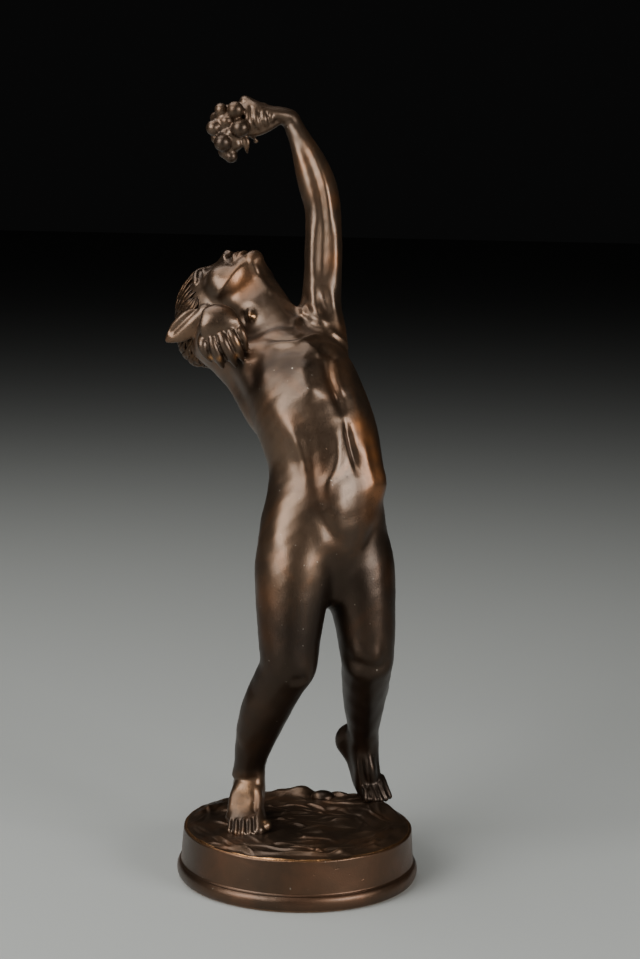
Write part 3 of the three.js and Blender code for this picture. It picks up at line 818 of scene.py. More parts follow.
def lock_places(ring, polar, around, rng):
    """Places in head coordinates along the middle of one lock, and its half-width."""
    reach = LOCK_REACH * rng.uniform(*LOCK_LENGTHS)
    drift = BROAD_DRIFT * math.sin(3 * around + 0.33 * ring) + NARROW_DRIFT * math.sin(7 * around)
    phase, wave = 2 * around + rng.uniform(-0.5, 0.5), rng.uniform(*LOCK_WAVES)
    width, height = rng.uniform(*LOCK_WIDTHS), rng.uniform(*LOCK_HEIGHTS)
    places = []
    for t in LOCK_STEPS:
        angle = polar + reach * t
        bend = (HAIR_TURN + drift) * t + wave * (math.sin(phase + 6 * t) - math.sin(phase))
        lift = -0.8 + (1.7 + height) * math.sin(math.pi * min(t * 0.75 + 0.1, 1))
        places.append(scalp(angle, around + bend / max(math.sin(angle), 0.35), lift))
    return places, width


def make_hair():
    """Rows of fine wavy locks that lie over one another."""
    clay = Clay()
    rng = np.random.default_rng(HAIR_SEED)
    for ring, (polar, count) in enumerate(HAIR_RINGS):
        for k in range(count):
            start = polar + rng.uniform(-0.05, 0.05)
            around = 2 * math.pi * (k + 0.5 * (ring % 2) + rng.uniform(-0.2, 0.2)) / count
            places, width = lock_places(ring, start, around, rng)
            if is_face(places[3]) or is_face(places[0]):
                continue
            points = [on_head(*place) for place in places]
            outward = (points[2] - on_head(*SKULL_CENTRE)).normalized()
            side = outward.cross(points[3] - points[1]).normalized()
            halves = [(width * share, 0.3 + 0.35 * share) for share in LOCK_TAPER]
            clay.sweep(points, halves, side, steps=2, sides=8)
    return clay.join("faun_hair")


# Carving. A mark is a pixel of the photograph where the view shows it, and a place in millimetres elsewhere.
# A stroke's width and push are in millimetres: below nought it is a groove, above nought a ridge.

TORSO_WORK = {
    "right collar bone": Stroke(((262, 346), (280, 344), (299, 343), (315, 336), (328, 330)), 2.4, 1.3,
                                pinch=0.15),
    "left collar bone": Stroke(((328, 330), (338, 337), (348, 350)), 2.2, 1.1, pinch=0.15),
    "end of the collar bone": Stroke(((303, 344), (312, 351), (320, 360)), 2.2, 1.0, pinch=0.15),
    "hollow under the collar bone": Stroke(((270, 352), (290, 351), (306, 356)), 3.2, -1.0),
    "notch of the collar": Stroke(((318, 348), (327, 352), (336, 360)), 3.4, -1.4),
    "breastbone": Stroke(((323, 352), (330, 374), (338, 396), (344, 418)), 4.6, -1.6, ends=0.35),
    "depth of the breastbone": Stroke(((324, 358), (331, 378), (339, 398), (345, 420)), 2.2, -1.5, ends=0.35,
                                      pinch=0.1),
    "upper breast": Swell((305, 354), 9, 2.4),
    "line down the belly": Stroke(((343, 410), (348, 430), (351, 444), (355, 460), (359, 480)), 2.0, -1.7,
                                  ends=0.35),
    "edge of the right breast": Stroke(((304, 360), (307, 380), (316, 402)), 5.0, 1.8),
    "edge of the left breast": Stroke(((333, 356), (336, 378), (343, 398)), 2.6, 1.3),
    "right edge of the belly": Stroke(((336, 420), (338, 445), (337, 464), (328, 482), (326, 498)), 2.8, 0.9),
    "left edge of the belly": Stroke(((362, 436), (366, 458), (370, 480), (371, 497)), 2.8, 0.9),
    "fold under the belly": Stroke(((325, 510), (345, 519), (366, 511)), 4.2, -0.45, ends=0.4),
    "rib margin": Stroke(((272, 397), (288, 428), (301, 462)), 6.0, 0.9),
    "lowest ribs": Stroke(((287, 418), (297, 440), (304, 466), (306, 482)), 2.8, 0.9, ends=0.4),
    "flat beside the belly": Stroke(((309, 425), (312, 455), (316, 490), (331, 530)), 3.0, -0.5, ends=0.4),
    "left flank": Stroke(((371, 428), (377, 460), (378, 492)), 4.6, 0.5),
    "bulge of the left flank": Swell((379, 484), 8.5, 3.0),
    "waist": Stroke(((274, 481), (290, 483), (306, 484)), 5.0, -0.4),
    "right hip": Stroke(((281, 490), (276, 520), (273, 556)), 7.0, 0.8),
    "crease over the right thigh": Stroke(((312, 496), (324, 520), (336, 540), (348, 551)), 3.6, -1.0,
                                          ends=0.45),
    "crease over the left thigh": Stroke(((381, 513), (371, 537), (359, 551)), 3.4, -0.9, ends=0.45),
    "top of the right thigh": Swell((323, 546), 8, 0.9),
    "edge of the armpit": Stroke(((264, 350), (264, 366), (264, 384)), 4.0, 0.7),
    "armpit": Stroke(((247, 362), (252, 376), (256, 390)), 5.0, -1.4, ends=0.4),
    "spine": Stroke(((8, 27, 180), (9, 34, 200), (3, 45, 222), (-4, 56, 242), (-9, 62, 254)), 4.0, -1.8,
                    ends=0.2),
    "middle of the seat": Stroke(((6, 27, 176), (2, 30, 160), (1, 24, 146)), 2.2, -2.6, ends=0.2, pinch=0.2),
}

# On either side of the back, to the left, in front and up: the shoulder blade and the fold under the seat
BLADE_EDGE = ((8, -22, 14), (9, -24, 2), (14, -23, -9))
BLADE_MIDDLE = (16, -20, 6)
SEAT_FOLD = ((4, -26, -24), (13, -26, -27), (23, -20, -26))


def carve_torso(skin):
    skin.work(TORSO_WORK)
    for side in (-1, 1):
        skin.stroke([on_chest(side * left, front, up) for left, front, up in BLADE_EDGE], 4.6, 1.4)
        left, front, up = BLADE_MIDDLE
        skin.swell(on_chest(side * left, front, up), 8, -0.5)
        skin.stroke([on_hips(side * left, front, up) for left, front, up in SEAT_FOLD], 2.6, -1.1, pinch=0.1)


# Where the cord from the left ear meets the neck
EAR_CORD_END = JOINTS["neck"].lerp(JOINTS["throat"], 0.6) - HEAD_RIGHT * 14

NECK_WORK = {
    "first edge of the jaw": Stroke(((245, 257), (235, 272), (222, 289), (210, 303)), 2.6, 1.3, pinch=0.1),
    "second edge of the jaw": Stroke(((251, 257), (257, 272), (266, 288), (273, 296)), 2.4, 1.2, pinch=0.1),
    "flat under the jaw": Swell((245, 282), 7, -1.5),
    "ridge under the jaw": Stroke(((222, 301), (240, 304), (262, 301)), 4.0, 0.7),
    "first cord of the throat": Stroke(((281, 297), (296, 308), (314, 318), (330, 325)), 2.0, 1.0),
    "fold under the first cord": Stroke(((284, 305), (298, 315), (312, 324)), 2.2, -0.9),
    "second cord of the throat": Stroke(((292, 293), (305, 305), (320, 315)), 1.8, 0.8),
    "swelling over the collar bone": Swell((280, 331), 4, 0.9, (2, 1, 1)),
    "fold over the collar bone": Stroke(((262, 337), (280, 339), (300, 338), (316, 331)), 2.2, -1.1),
    "hollow beside the wattle": Stroke(((245, 311), (243, 318), (247, 326)), 1.5, -1.0),
    "cord from the left ear": Stroke((on_head(-18, -6, -9), EAR_CORD_END), 3.0, 0.8),
    "left side of the jaw": Stroke((on_head(-6, 12, -27), on_head(-13, 4, -22), on_head(-18, -2, -13)),
                                   2.2, 0.9, ends=0.35),
}

ARM_WORK = {
    "hollow of the forearm": Stroke(((297, 134), (308, 156), (317, 182), (322, 210), (324, 240)), 3.0, -1.2),
    "bone of the forearm": Stroke(((289, 123), (309, 147), (326, 190), (332, 236)), 2.4, 0.8),
    "groove of the upper arm": Stroke(((324, 205), (323, 235), (322, 265), (320, 296)), 3.6, -1.5, ends=0.4),
    "inner cord of the upper arm": Stroke(((312, 215), (312, 242), (312, 270), (311, 296)), 2.8, 1.0,
                                          ends=0.4),
    "outer cord of the upper arm": Stroke(((337, 215), (336, 242), (336, 270), (337, 300)), 2.8, 1.1,
                                          ends=0.4),
    "inner cord of the shoulder": Stroke(((311, 276), (313, 294), (318, 311), (327, 326)), 2.6, 1.0,
                                         ends=0.4),
    "outer cord of the shoulder": Stroke(((331, 282), (333, 300), (337, 318), (343, 336)), 2.4, 0.8,
                                         ends=0.4),
    "hollow between the cords": Stroke(((321, 284), (324, 302), (331, 322)), 3.0, -1.2, ends=0.4),
    "hollow from neck to shoulder": Stroke(((304, 288), (306, 304), (314, 320)), 2.6, -0.9, ends=0.4),
}

# The clefts between fingers and between toes
CLEFT_WIDTH = 0.8
BROW_CLEFTS = (((208, 336), (208, 346), (211.5, 358)), ((216, 333), (218, 345), (225, 360)),
               ((225, 330), (229.5, 341), (236, 355)), ((234, 328), (239.5, 338), (243.5, 349)))
FIST_CLEFTS = (((252.5, 107), (251.5, 116), (255, 128)), ((260.5, 108), (260, 116), (263, 127)),
               ((268, 109), (268, 116), (269.5, 124)))
STANDING_TOE_CLEFTS = (((232.6, 818), (232.2, 832)), ((239, 818), (239, 834)), ((246, 818), (246, 835)),
                       ((253, 816), (253.6, 834)))
RAISED_TOE_CLEFTS = (((369, 786), (371, 799)), ((373.5, 785), (377.5, 799)), ((377.5, 783), (383, 798)),
                     ((381, 781), (387.5, 796)))


def carve_clefts(skin, paths, push, pinch=0.2):
    for path in paths:
        skin.stroke(path, CLEFT_WIDTH, push, pinch=pinch)


LEG_WORK = {
    "fold under the right knee": Stroke(((288, 681), (299, 681), (309, 677)), 3.0, -0.9),
    "fold under the left knee": Stroke(((342, 655), (358, 664), (376, 668), (392, 661)), 3.4, -1.2,
                                       pinch=0.1),
    "right kneecap": Stroke(((266, 655), (284, 660), (303, 660)), 6.0, 0.4),
    "left kneecap": Stroke(((348, 648), (366, 655), (384, 654)), 4.5, 1.0),
    "hollow between the thighs": Stroke(((333, 545), (337, 575), (336, 600)), 4.0, -0.8),
    "right shin": Stroke(((252, 690), (246, 720), (243, 750)), 5.0, 0.8),
    "left shin": Stroke(((366, 680), (370, 710), (371, 740)), 4.0, 0.7),
}

# The flat of the standing foot, which breaks from the shin along a straight edge
INSTEP_FLAT = Vector((-26.5, -4, 37.5))
INSTEP_FACING = (-0.05, -0.62, 0.78)

STANDING_FOOT_WORK = {
    "bend of the ankle": Stroke(((232, 778), (245, 780), (260, 777)), 1.8, -1.0, pinch=0.2),
    "outer edge of the instep": Stroke(((233, 784), (230, 800), (228, 814)), 1.6, 0.6),
    "inner edge of the instep": Stroke(((258, 784), (260, 800), (260, 816)), 1.8, 1.0),
    "hollow beside the inner edge": Stroke(((254, 786), (255, 800), (255, 814)), 1.4, -0.8),
}

RAISED_FOOT_WORK = {
    "hollow inside the instep": Stroke(((361, 756), (362.5, 774), (367, 791)), 1.6, -1.3),
    "cord of the instep": Stroke(((369, 738), (370, 762), (374, 784)), 2.2, 1.1, ends=0.4),
    "hollow outside the cord": Stroke(((377, 752), (378, 768), (381, 784)), 1.6, -0.5, ends=0.4),
}


def carve_feet(skin):
    skin.scrape(INSTEP_FLAT, INSTEP_FACING, 14, 0.92)
    skin.work(STANDING_FOOT_WORK)
    carve_clefts(skin, STANDING_TOE_CLEFTS, -1.1)
    carve_clefts(skin, RAISED_TOE_CLEFTS, -0.35)
    skin.work(RAISED_FOOT_WORK)


# Strokes in the middle of the face and on either side of it, to the right, outward and up
FACE_WORK = {
    "line of the lips": Stroke(((-5.8, 20, -17.4), (-2.4, 23, -17.5), (0, 23.4, -17.7), (2.4, 23, -17.5),
                                (5.8, 20, -17.4)), 0.8, -0.8, pinch=0.2),
    "hollow under the lip": Stroke(((-4, 20, -22), (0, 21, -22.3), (4, 20, -22)), 1.6, -0.8),
    "groove over the lip": Stroke(((0, 23.5, -12.2), (0, 23.6, -14.8)), 0.9, -0.5),
}
NOSTRIL_HOLE = (1.7, 25, -11.4)
CHEEK_WORK = {
    "edge of the cheek": Stroke(((5, 18.4, -11.5), (8, 18, -15), (9.4, 16, -19)), 1.5, -0.6),
    "fold over the eye": Stroke(((4, 17.5, 3.6), (8, 19, 4.8), (13, 15, 3)), 1.2, -0.8),
    "fold under the eye": Stroke(((4.4, 17, -4.6), (8, 18, -5.6), (12, 16, -4.6)), 1.4, -0.5),
}
EAR_HOLLOW = ((21, 1, -1), (31, -8, 17))


def carve_face(skin):
    """Lids, nostrils, the line of the lips, and the hollow of each ear."""
    for work in FACE_WORK.values():
        skin.stroke([on_head(*mark) for mark in work.marks], *work[1:])
    for side in (-1, 1):
        right, out, up = NOSTRIL_HOLE
        skin.swell(on_head(side * right, out, up), 0.9, -0.6)
        for work in CHEEK_WORK.values():
            skin.stroke([on_head(side * right, out, up) for right, out, up in work.marks], *work[1:])
        root, tip = (on_head(side * right, out, up) for right, out, up in EAR_HOLLOW)
        skin.stroke([root, root.lerp(tip, 0.5) + HEAD_RIGHT * (side * 2), tip], 1.9, -1.3, ends=0.2)


UNEVENNESS = 0.10


def mould_waves(skin):
    """The slight unevenness of a surface worked by hand."""
    x, y, z = skin.points.T
    wave = np.sin(0.31 * x + 0.17 * z + 0.6) * np.sin(0.27 * y - 0.23 * z + 1.1)
    wave += 0.6 * np.sin(0.63 * x - 0.41 * z + 2.0) * np.sin(0.55 * y + 0.37 * z)
    skin.points += skin.normals * (UNEVENNESS * wave)[:, None]


def make_masses(clay):
    """The rough figure, pressed together and evened out, most of all on the trunk."""
    shape_trunk(clay)
    shape_legs(clay)
    shape_standing_foot(clay)
    shape_raised_foot(clay)
    shape_arms(clay)
    shape_head(clay)
    masses = clay.join("masses")
    press(masses, MASS_VOXEL)
    draw_together(masses, 70, trunk_weight)
    soften(masses, 10)
    return masses


def make_figure():
    clay = Clay()
    masses = make_masses(clay)
    shape_wattles(clay, Skin(masses))
    shape_brow_hand(clay)
    shape_grape_hand(clay)
    shape_grapes(clay)
    shape_toes(clay)
    shape_ears(clay)
    shape_face(clay)
    figure = clay.join("faun_figure", masses)
    press(figure, SKIN_VOXEL)
    soften(figure, 3)
    draw_together(figure, 24, plain_weight)
    skin = Skin(figure)
    carve_torso(skin)
    skin.work(NECK_WORK)
    skin.work(ARM_WORK)
    carve_clefts(skin, BROW_CLEFTS, -0.6)
    carve_clefts(skin, FIST_CLEFTS, -0.3, pinch=0.1)
    skin.work(LEG_WORK)
    carve_feet(skin)
    carve_face(skin)
    mould_waves(skin)
    skin.write()
    soften(figure, 2)
    thin_out(figure, MOST_TRIANGLES)
    return figure


# The base: a turned drum on a rounded foot, with a recess in its top. All sizes are in millimetres.

_, BASE_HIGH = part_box("base")
BASE_RADIUS = BASE_HIGH.x / MM
BASE_TOP = BASE_HIGH.z / MM
FOOT_HEIGHT = 8
FOOT_BULGE = 2.6
COVE = 1.0
RIM_ROUNDING = 0.9
RIM_WIDTH = 1.6
RECESS = 3.2
WALL_FOOT = BASE_RADIUS - 2.1
WALL_TOP = BASE_RADIUS - 3.1
WALL_STATIONS = (0.12, 0.25, 0.38, 0.5, 0.62, 0.75, 0.88, 1)
BASE_STEPS = 256

# How uneven the rim is in height and the wall in depth
RIM_UNEVENNESS = 0.18
WALL_UNEVENNESS = 0.06


def round_bit(centre, radius, start, end, steps):
    """Points on an arc in the plane of the profile, angles in degrees."""
    out = []
    for k in range(steps + 1):
        a = math.radians(start + (end - start) * k / steps)
        out.append((centre[0] + radius * math.cos(a), centre[1] + radius * math.sin(a)))
    return out


def base_profile():
    """Radius and height from the middle of the underside round to the middle of the recess."""
    half = FOOT_HEIGHT / 2
    floor = BASE_TOP - RECESS
    lip = WALL_TOP - RIM_WIDTH
    outline = [(0, 0), (20, 0), (40, 0), (BASE_RADIUS - 4, 0)]
    foot = round_bit((0, 0), 1, -80, 80, 16)
    outline += [(BASE_RADIUS - FOOT_BULGE + FOOT_BULGE * x, half + half * z) for x, z in foot]
    outline += round_bit((WALL_FOOT + COVE, FOOT_HEIGHT + COVE), COVE, -100, -180, 6)
    outline += [(WALL_FOOT - (WALL_FOOT - WALL_TOP) * t, FOOT_HEIGHT + 1 + (BASE_TOP - FOOT_HEIGHT - 2) * t)
                for t in WALL_STATIONS]
    outline += round_bit((WALL_TOP - RIM_ROUNDING, BASE_TOP - RIM_ROUNDING), RIM_ROUNDING, 0, 90, 5)
    outline += [(lip, BASE_TOP), (lip, floor), (30, floor), (0, floor)]
    return outline


def make_base():
    bm = bmesh.new()
    row = [bm.verts.new((r, 0, z)) for r, z in base_profile()]
    edges = [bm.edges.new(pair) for pair in zip(row, row[1:])]
    bmesh.ops.spin(bm, geom=row + edges, axis=UP, cent=(0, 0, 0), steps=BASE_STEPS, angle=2 * math.pi,
                   use_merge=True)
    bmesh.ops.remove_doubles(bm, verts=bm.verts, dist=0.001)
    bmesh.ops.recalc_face_normals(bm, faces=bm.faces)
    base = new_object("drum_base", bm)
    skin = Skin(base)
    x, y, z = skin.points.T
    angle = np.arctan2(y, x)
    wave = np.sin(5 * angle + 0.4) + 0.7 * np.sin(11 * angle + z * 0.3) + 0.4 * np.sin(23 * angle - z * 0.5)
    rim = np.clip((z - BASE_TOP + 2) / 2, 0, 1) * (np.hypot(x, y) > WALL_TOP - RIM_WIDTH - 0.1)
    skin.points[:, 2] += RIM_UNEVENNESS * wave * rim
    wall = (z > 1) & (np.hypot(x, y) > 50)
    skin.points[:, :2] += skin.normals[:, :2] * (WALL_UNEVENNESS * wave * wall)[:, None]
    skin.write()
    return base


# The rough ground in the recess, in millimetres

GROUND_TOP = BASE_TOP + 1.0
GROUND_RADIUS = WALL_TOP - RIM_WIDTH + 0.6
GROUND_CELLS = 240

# Rises: a place to the right and back, the height and the spread
MOUND = (37, 33, 3.3, 17)
BACK_EDGE = ((-8, 49.5, 2.4, 5.5), (1.5, 50.5, 3.0, 5.5), (20, 47, 1.6, 5.5))

# Ridges along the rim: the bearing in degrees, the radius, the length, the width and the height
RIM_RIDGES = ((-80, 49, 24, 1.4, 1.3), (-62, 44, 16, 1.2, 1.0), (-105, 42, 15, 1.3, 0.9),
              (-40, 48, 12, 1.4, 1.1), (-130, 48, 14, 1.4, 1.0), (-90, 36, 12, 1.1, 0.8),
              (-20, 44, 10, 1.3, 1.0))

# Dabs of clay at random places, which lie along the rim where they are this far out or farther
DAB_SEED = 7
DAB_COUNT = 150
DAB_LENGTHS = (4, 11)
DAB_WIDTHS = (1.1, 3.2)
DAB_HEIGHTS = (-0.45, 0.75)
RIM_DABS_FROM = 30

# Over what width the ground comes down to the rim, all round and beside the lumps of the back edge
EDGE_FADE = 4.5
BACK_EDGE_FADE = 2.4


def ground_height(x, y):
    """Height of the rough ground, with the mound under the raised foot and lumps along the back edge."""
    rise = np.zeros_like(x)
    for cx, cy, lift, spread_out in (MOUND, *BACK_EDGE):
        rise += lift * np.exp(-(np.hypot(x - cx, y - cy) / spread_out) ** 3)
    rise += 0.45 * (np.sin(0.31 * x + 1.3) * np.cos(0.27 * y - 0.6) + 0.6 * np.sin(0.13 * x - 0.21 * y))
    return GROUND_TOP + rise


def smears(x, y):
    """Clay pressed on with the thumb: broad overlapping dabs, drawn out along the rim into long ridges."""
    out = np.zeros_like(x)
    rng = np.random.default_rng(DAB_SEED)
    for _ in range(DAB_COUNT):
        radius = GROUND_RADIUS * math.sqrt(rng.random())
        angle = rng.random() * 2 * math.pi
        cx, cy = radius * math.cos(angle), radius * math.sin(angle)
        on_rim = radius > RIM_DABS_FROM
        heading = angle + math.pi / 2 + rng.normal() * 0.35 if on_rim else rng.normal() * 0.7
        length, width = rng.uniform(*DAB_LENGTHS), rng.uniform(*DAB_WIDTHS)
        along = (x - cx) * math.cos(heading) + (y - cy) * math.sin(heading)
        across = -(x - cx) * math.sin(heading) + (y - cy) * math.cos(heading)
        across = across + 0.015 * along * along
        dab = np.exp(-(along / length) ** 4) * np.exp(-(across / width) ** 2)
        dab = dab * (1 + 0.9 * np.tanh(1.5 * across))
        out += dab * rng.uniform(*DAB_HEIGHTS)
    for bearing, radius, length, width, rise in RIM_RIDGES:
        angle = np.arctan2(y, x) - math.radians(bearing)
        along = radius * np.arctan2(np.sin(angle), np.cos(angle))
        across = np.hypot(x, y) - radius - 1.2 * np.sin(along * 0.22)
        ridge = rise * np.exp(-(along / length) ** 4) * np.exp(-(across / width) ** 2)
        out += ridge * (1 + 0.8 * np.tanh(across))
    return out


def square_to_disc(x, y):
    """Turns each square ring of a grid into a circle: how far out a place is, and its new bearing."""
    wide = np.abs(x) >= np.abs(y)
    bend = np.where(wide, y / np.maximum(np.abs(x), 1e-9), x / np.maximum(np.abs(y), 1e-9))
    swing = bend * math.pi / 4
    turn = np.where(wide, np.where(x > 0, swing, math.pi - swing),
                    np.where(y > 0, math.pi / 2 - swing, swing - math.pi / 2))
    return np.maximum(np.abs(x), np.abs(y)), turn


def make_ground():
    """A rough disc over the recess, its edge just inside the rim, closed underneath."""
    bm = bmesh.new()
    bmesh.ops.create_grid(bm, x_segments=GROUND_CELLS, y_segments=GROUND_CELLS, size=1)
    border = [e for e in bm.edges if e.is_boundary]
    skirt = bmesh.ops.extrude_edge_only(bm, edges=border)["geom"]
    bmesh.ops.translate(bm, verts=[v for v in skirt if isinstance(v, bmesh.types.BMVert)], vec=(0, 0, -1))
    bmesh.ops.holes_fill(bm, edges=[e for e in bm.edges if e.is_boundary])
    bmesh.ops.recalc_face_normals(bm, faces=bm.faces)
    ground = new_object("faun_ground", bm)
    skin = Skin(ground)
    x, y, z = skin.points.T
    ring, turn = square_to_disc(x, y)
    x, y = GROUND_RADIUS * ring * np.cos(turn), GROUND_RADIUS * ring * np.sin(turn)
    height = ground_height(x, y) + smears(x, y)
    angle = np.arctan2(y, x)
    fade = np.where((y > 35) & (x > -16) & (x < 10), BACK_EDGE_FADE, EDGE_FADE)
    edge = np.clip(GROUND_RADIUS * (1 - ring) / fade, 0, 1)
    edge = edge * edge * (3 - 2 * edge)
    lip = BASE_TOP + 0.35 + 0.18 * np.sin(7 * angle + 0.8)
    lip = lip + 0.16 * np.sin(17 * angle) + 0.06 * np.sin(41 * angle)
    top = lip + (height - lip) * edge
    skin.points[:] = np.stack([x, y, np.where(z < -0.5, BASE_TOP - RECESS + 0.3, top)], 1)
    skin.write()
    return ground


# Materials

# A noise's scale, detail, roughness and distortion, the band of it that tells and what the band becomes
Pattern = namedtuple("Pattern", "scale detail roughness distortion band result")
PATTERNS = {
    "clouds": Pattern(22, 4, 0.55, 0.3, (0.36, 0.68), (0, 1)),
    "tinge": Pattern(45, 4, 0.6, 0.8, (0.50, 0.72), (0, 0.22)),
    "blush": Pattern(60, 3, 0.6, 0, (0.3, 0.6), (0.45, 1)),
    "rubbing": Pattern(420, 3, 0.55, 0, (0.35, 0.62), (0.4, 1)),
    "flecks": Pattern(620, 1, 0.5, 0, (0.775, 0.80), (0, 0.45)),
    "roughness": Pattern(50, 4, 0.55, 0, (0.3, 0.7), (0.31, 0.41)),
    "grain": Pattern(2300, 2, 0.7, 0, (0.35, 0.65), (-0.06, 0.08)),
    "pits": Pattern(560, 1, 0.5, 0, (0.25, 0.20), (0, 1)),
}
# Near-black patina of the hollows, which is also the colour of the painted shade in the hollow mask
DEEP_COLOUR = (0.012, 0.009, 0.007)
# Colour of rubbed bronze, which is also used for the painted highlight on the instep
RUBBED_COLOUR = (0.50, 0.25, 0.10)
FLECK_COLOUR = (0.45, 0.40, 0.33)
LEAST_METAL = 0.86
COAT_ROUGHNESS = 0.28
SPECULAR = 0.6
RELIEF_STRENGTH = 0.5


def math_node(tree, operation, a, b=0.0, clamp=False):
    node = tree.nodes.new("ShaderNodeMath")
    node.operation = operation
    node.use_clamp = clamp
    for socket, value in zip(node.inputs, (a, b)):
        if isinstance(value, (int, float)):
            socket.default_value = value
        else:
            tree.links.new(value, socket)
    return node.outputs[0]


def mix_colour(tree, factor, a, b):
    node = tree.nodes.new("ShaderNodeMix")
    node.data_type = "RGBA"
    for name, value in (("Factor", factor), ("A", a), ("B", b)):
        kind = "VALUE" if name == "Factor" else "RGBA"
        socket = next(s for s in node.inputs if s.name == name and s.type == kind)
        if isinstance(value, tuple):
            socket.default_value = (*value, 1)
        else:
            tree.links.new(value, socket)
    return next(s for s in node.outputs if s.type == "RGBA")


def noise(tree, vector, scale, detail, roughness, distortion=0.0):
    node = tree.nodes.new("ShaderNodeTexNoise")
    node.inputs["Scale"].default_value = scale
    node.inputs["Detail"].default_value = detail
    node.inputs["Roughness"].default_value = roughness
    node.inputs["Distortion"].default_value = distortion
    tree.links.new(vector, node.inputs["Vector"])
    return node.outputs["Fac"]


def pattern(tree, vector, name):
    """One of the patterns: a noise with a band of it spread over a range of values."""
    *noise_values, band, result = PATTERNS[name]
    value = noise(tree, vector, *noise_values)
    node = tree.nodes.new("ShaderNodeMapRange")
    node.inputs["From Min"].default_value, node.inputs["From Max"].default_value = band
    node.inputs["To Min"].default_value, node.inputs["To Max"].default_value = result
    tree.links.new(value, node.inputs["Value"])
    return node.outputs["Result"]


def patina_group():
    """Colour, roughness and fine relief of patinated bronze, from masks of wear and painted highlight, of
    hollows and painted shade, and of painted warm sheen.
    """
    tree = bpy.data.node_groups.new("bronze_patina", "ShaderNodeTree")
    for name in ("Wear", "Hollow", "Warm", "Coat"):
        tree.interface.new_socket(name=name, in_out="INPUT", socket_type="NodeSocketFloat")
    for name in ("Dark", "Brown", "Red"):
        tree.interface.new_socket(name=name, in_out="INPUT", socket_type="NodeSocketColor")
    tree.interface.new_socket(name="Colour", in_out="OUTPUT", socket_type="NodeSocketColor")
    for name in ("Roughness", "Height", "Metal", "Coat"):
        tree.interface.new_socket(name=name, in_out="OUTPUT", socket_type="NodeSocketFloat")
    given = tree.nodes.new("NodeGroupInput").outputs
    made = tree.nodes.new("NodeGroupOutput").inputs
    place = tree.nodes.new("ShaderNodeTexCoord").outputs["Object"]

    colour = mix_colour(tree, pattern(tree, place, "clouds"), given["Dark"], given["Brown"])
    colour = mix_colour(tree, pattern(tree, place, "tinge"), colour, given["Red"])
    # The painted warm sheen, broken up by the blush pattern, turns the colour red
    blush = math_node(tree, "MULTIPLY", given["Warm"], pattern(tree, place, "blush"))
    colour = mix_colour(tree, blush, colour, given["Red"])
    # The hollow mask holds the patina of the hollows and painted shade, such as on the legs and the chest
    colour = mix_colour(tree, given["Hollow"], colour, DEEP_COLOUR)
    # Wear, which includes the painted highlight on the instep, takes on the rubbed colour
    rub = math_node(tree, "MULTIPLY", given["Wear"], pattern(tree, place, "rubbing"))
    colour = mix_colour(tree, rub, colour, RUBBED_COLOUR)
    colour = mix_colour(tree, pattern(tree, place, "flecks"), colour, FLECK_COLOUR)
    tree.links.new(colour, made["Colour"])

    rough = math_node(tree, "ADD", pattern(tree, place, "roughness"), pattern(tree, place, "grain"))
    rough = math_node(tree, "ADD", rough, math_node(tree, "MULTIPLY", given["Hollow"], 0.03))
    rough = math_node(tree, "SUBTRACT", rough, math_node(tree, "MULTIPLY", rub, 0.08), clamp=True)
    tree.links.new(rough, made["Roughness"])
    bare = math_node(tree, "MULTIPLY", rub, 0.14)
    tree.links.new(math_node(tree, "ADD", LEAST_METAL, bare, clamp=True), made["Metal"])

    # No coat under the hollow mask, so the painted shade there also loses its coat reflection
    matt = math_node(tree, "SUBTRACT", 1.0, given["Hollow"], clamp=True)
    tree.links.new(math_node(tree, "MULTIPLY", given["Coat"], matt), made["Coat"])

    casting_skin = math_node(tree, "MULTIPLY", noise(tree, place, 1300, 3, 0.65), 0.7)
    dents = math_node(tree, "MULTIPLY", noise(tree, place, 180, 3, 0.5), 0.8)
    height = math_node(tree, "ADD", casting_skin, dents)
    height = math_node(tree, "SUBTRACT", height, pattern(tree, place, "pits"))
    tree.links.new(height, made["Height"])
    return tree


def bronze(name, group, dark, brown, red, coat, bump):
    """Patinated bronze in three colours, with a share of clear coat and a relief in millimetres."""
    material = bpy.data.materials.new(name)
    material.use_nodes = True
    tree = material.node_tree
    shader = next(n for n in tree.nodes if n.type == "BSDF_PRINCIPLED")
    patina = tree.nodes.new("ShaderNodeGroup")
    patina.node_tree = group
    for socket, colour in (("Dark", dark), ("Brown", brown), ("Red", red)):
        patina.inputs[socket].default_value = (*colour, 1)
    patina.inputs["Coat"].default_value = coat
    for mask in ("Wear", "Hollow", "Warm"):
        attribute = tree.nodes.new("ShaderNodeAttribute")
        attribute.attribute_name = mask.lower()
        tree.links.new(attribute.outputs["Fac"], patina.inputs[mask])
    for made, socket in (("Colour", "Base Color"), ("Roughness", "Roughness"), ("Metal", "Metallic"),
                         ("Coat", "Coat Weight")):
        tree.links.new(patina.outputs[made], shader.inputs[socket])
    relief = tree.nodes.new("ShaderNodeBump")
    relief.inputs["Strength"].default_value = RELIEF_STRENGTH
    relief.inputs["Distance"].default_value = bump * MM
    tree.links.new(patina.outputs["Height"], relief.inputs["Height"])
    tree.links.new(relief.outputs["Normal"], shader.inputs["Normal"])
    shader.inputs["Coat Roughness"].default_value = COAT_ROUGHNESS
    shader.inputs["Specular IOR Level"].default_value = SPECULAR
    return material


# How dark it is made at the least: painted shade on the legs, and darker all over on the hair and on the
# ground
LEG_SHADE = 0.74
LEG_SHADE_TOP = 170
LEG_SHADE_FADE = 42
HAIR_SHADE = 0.8
GROUND_SHADE = 0.15

# How much higher it begins on the left leg, and where to the right and over what width that comes in
LEFT_LEG_RISE = 26
LEFT_LEG_FROM = 4
LEFT_LEG_BLEND = 12

# The standing foot is left out of the painted shade: it lies to the left of this place and under this height
STANDING_FOOT_SIDE = 10
STANDING_FOOT_TOP = 44
STANDING_FOOT_FADE = 8


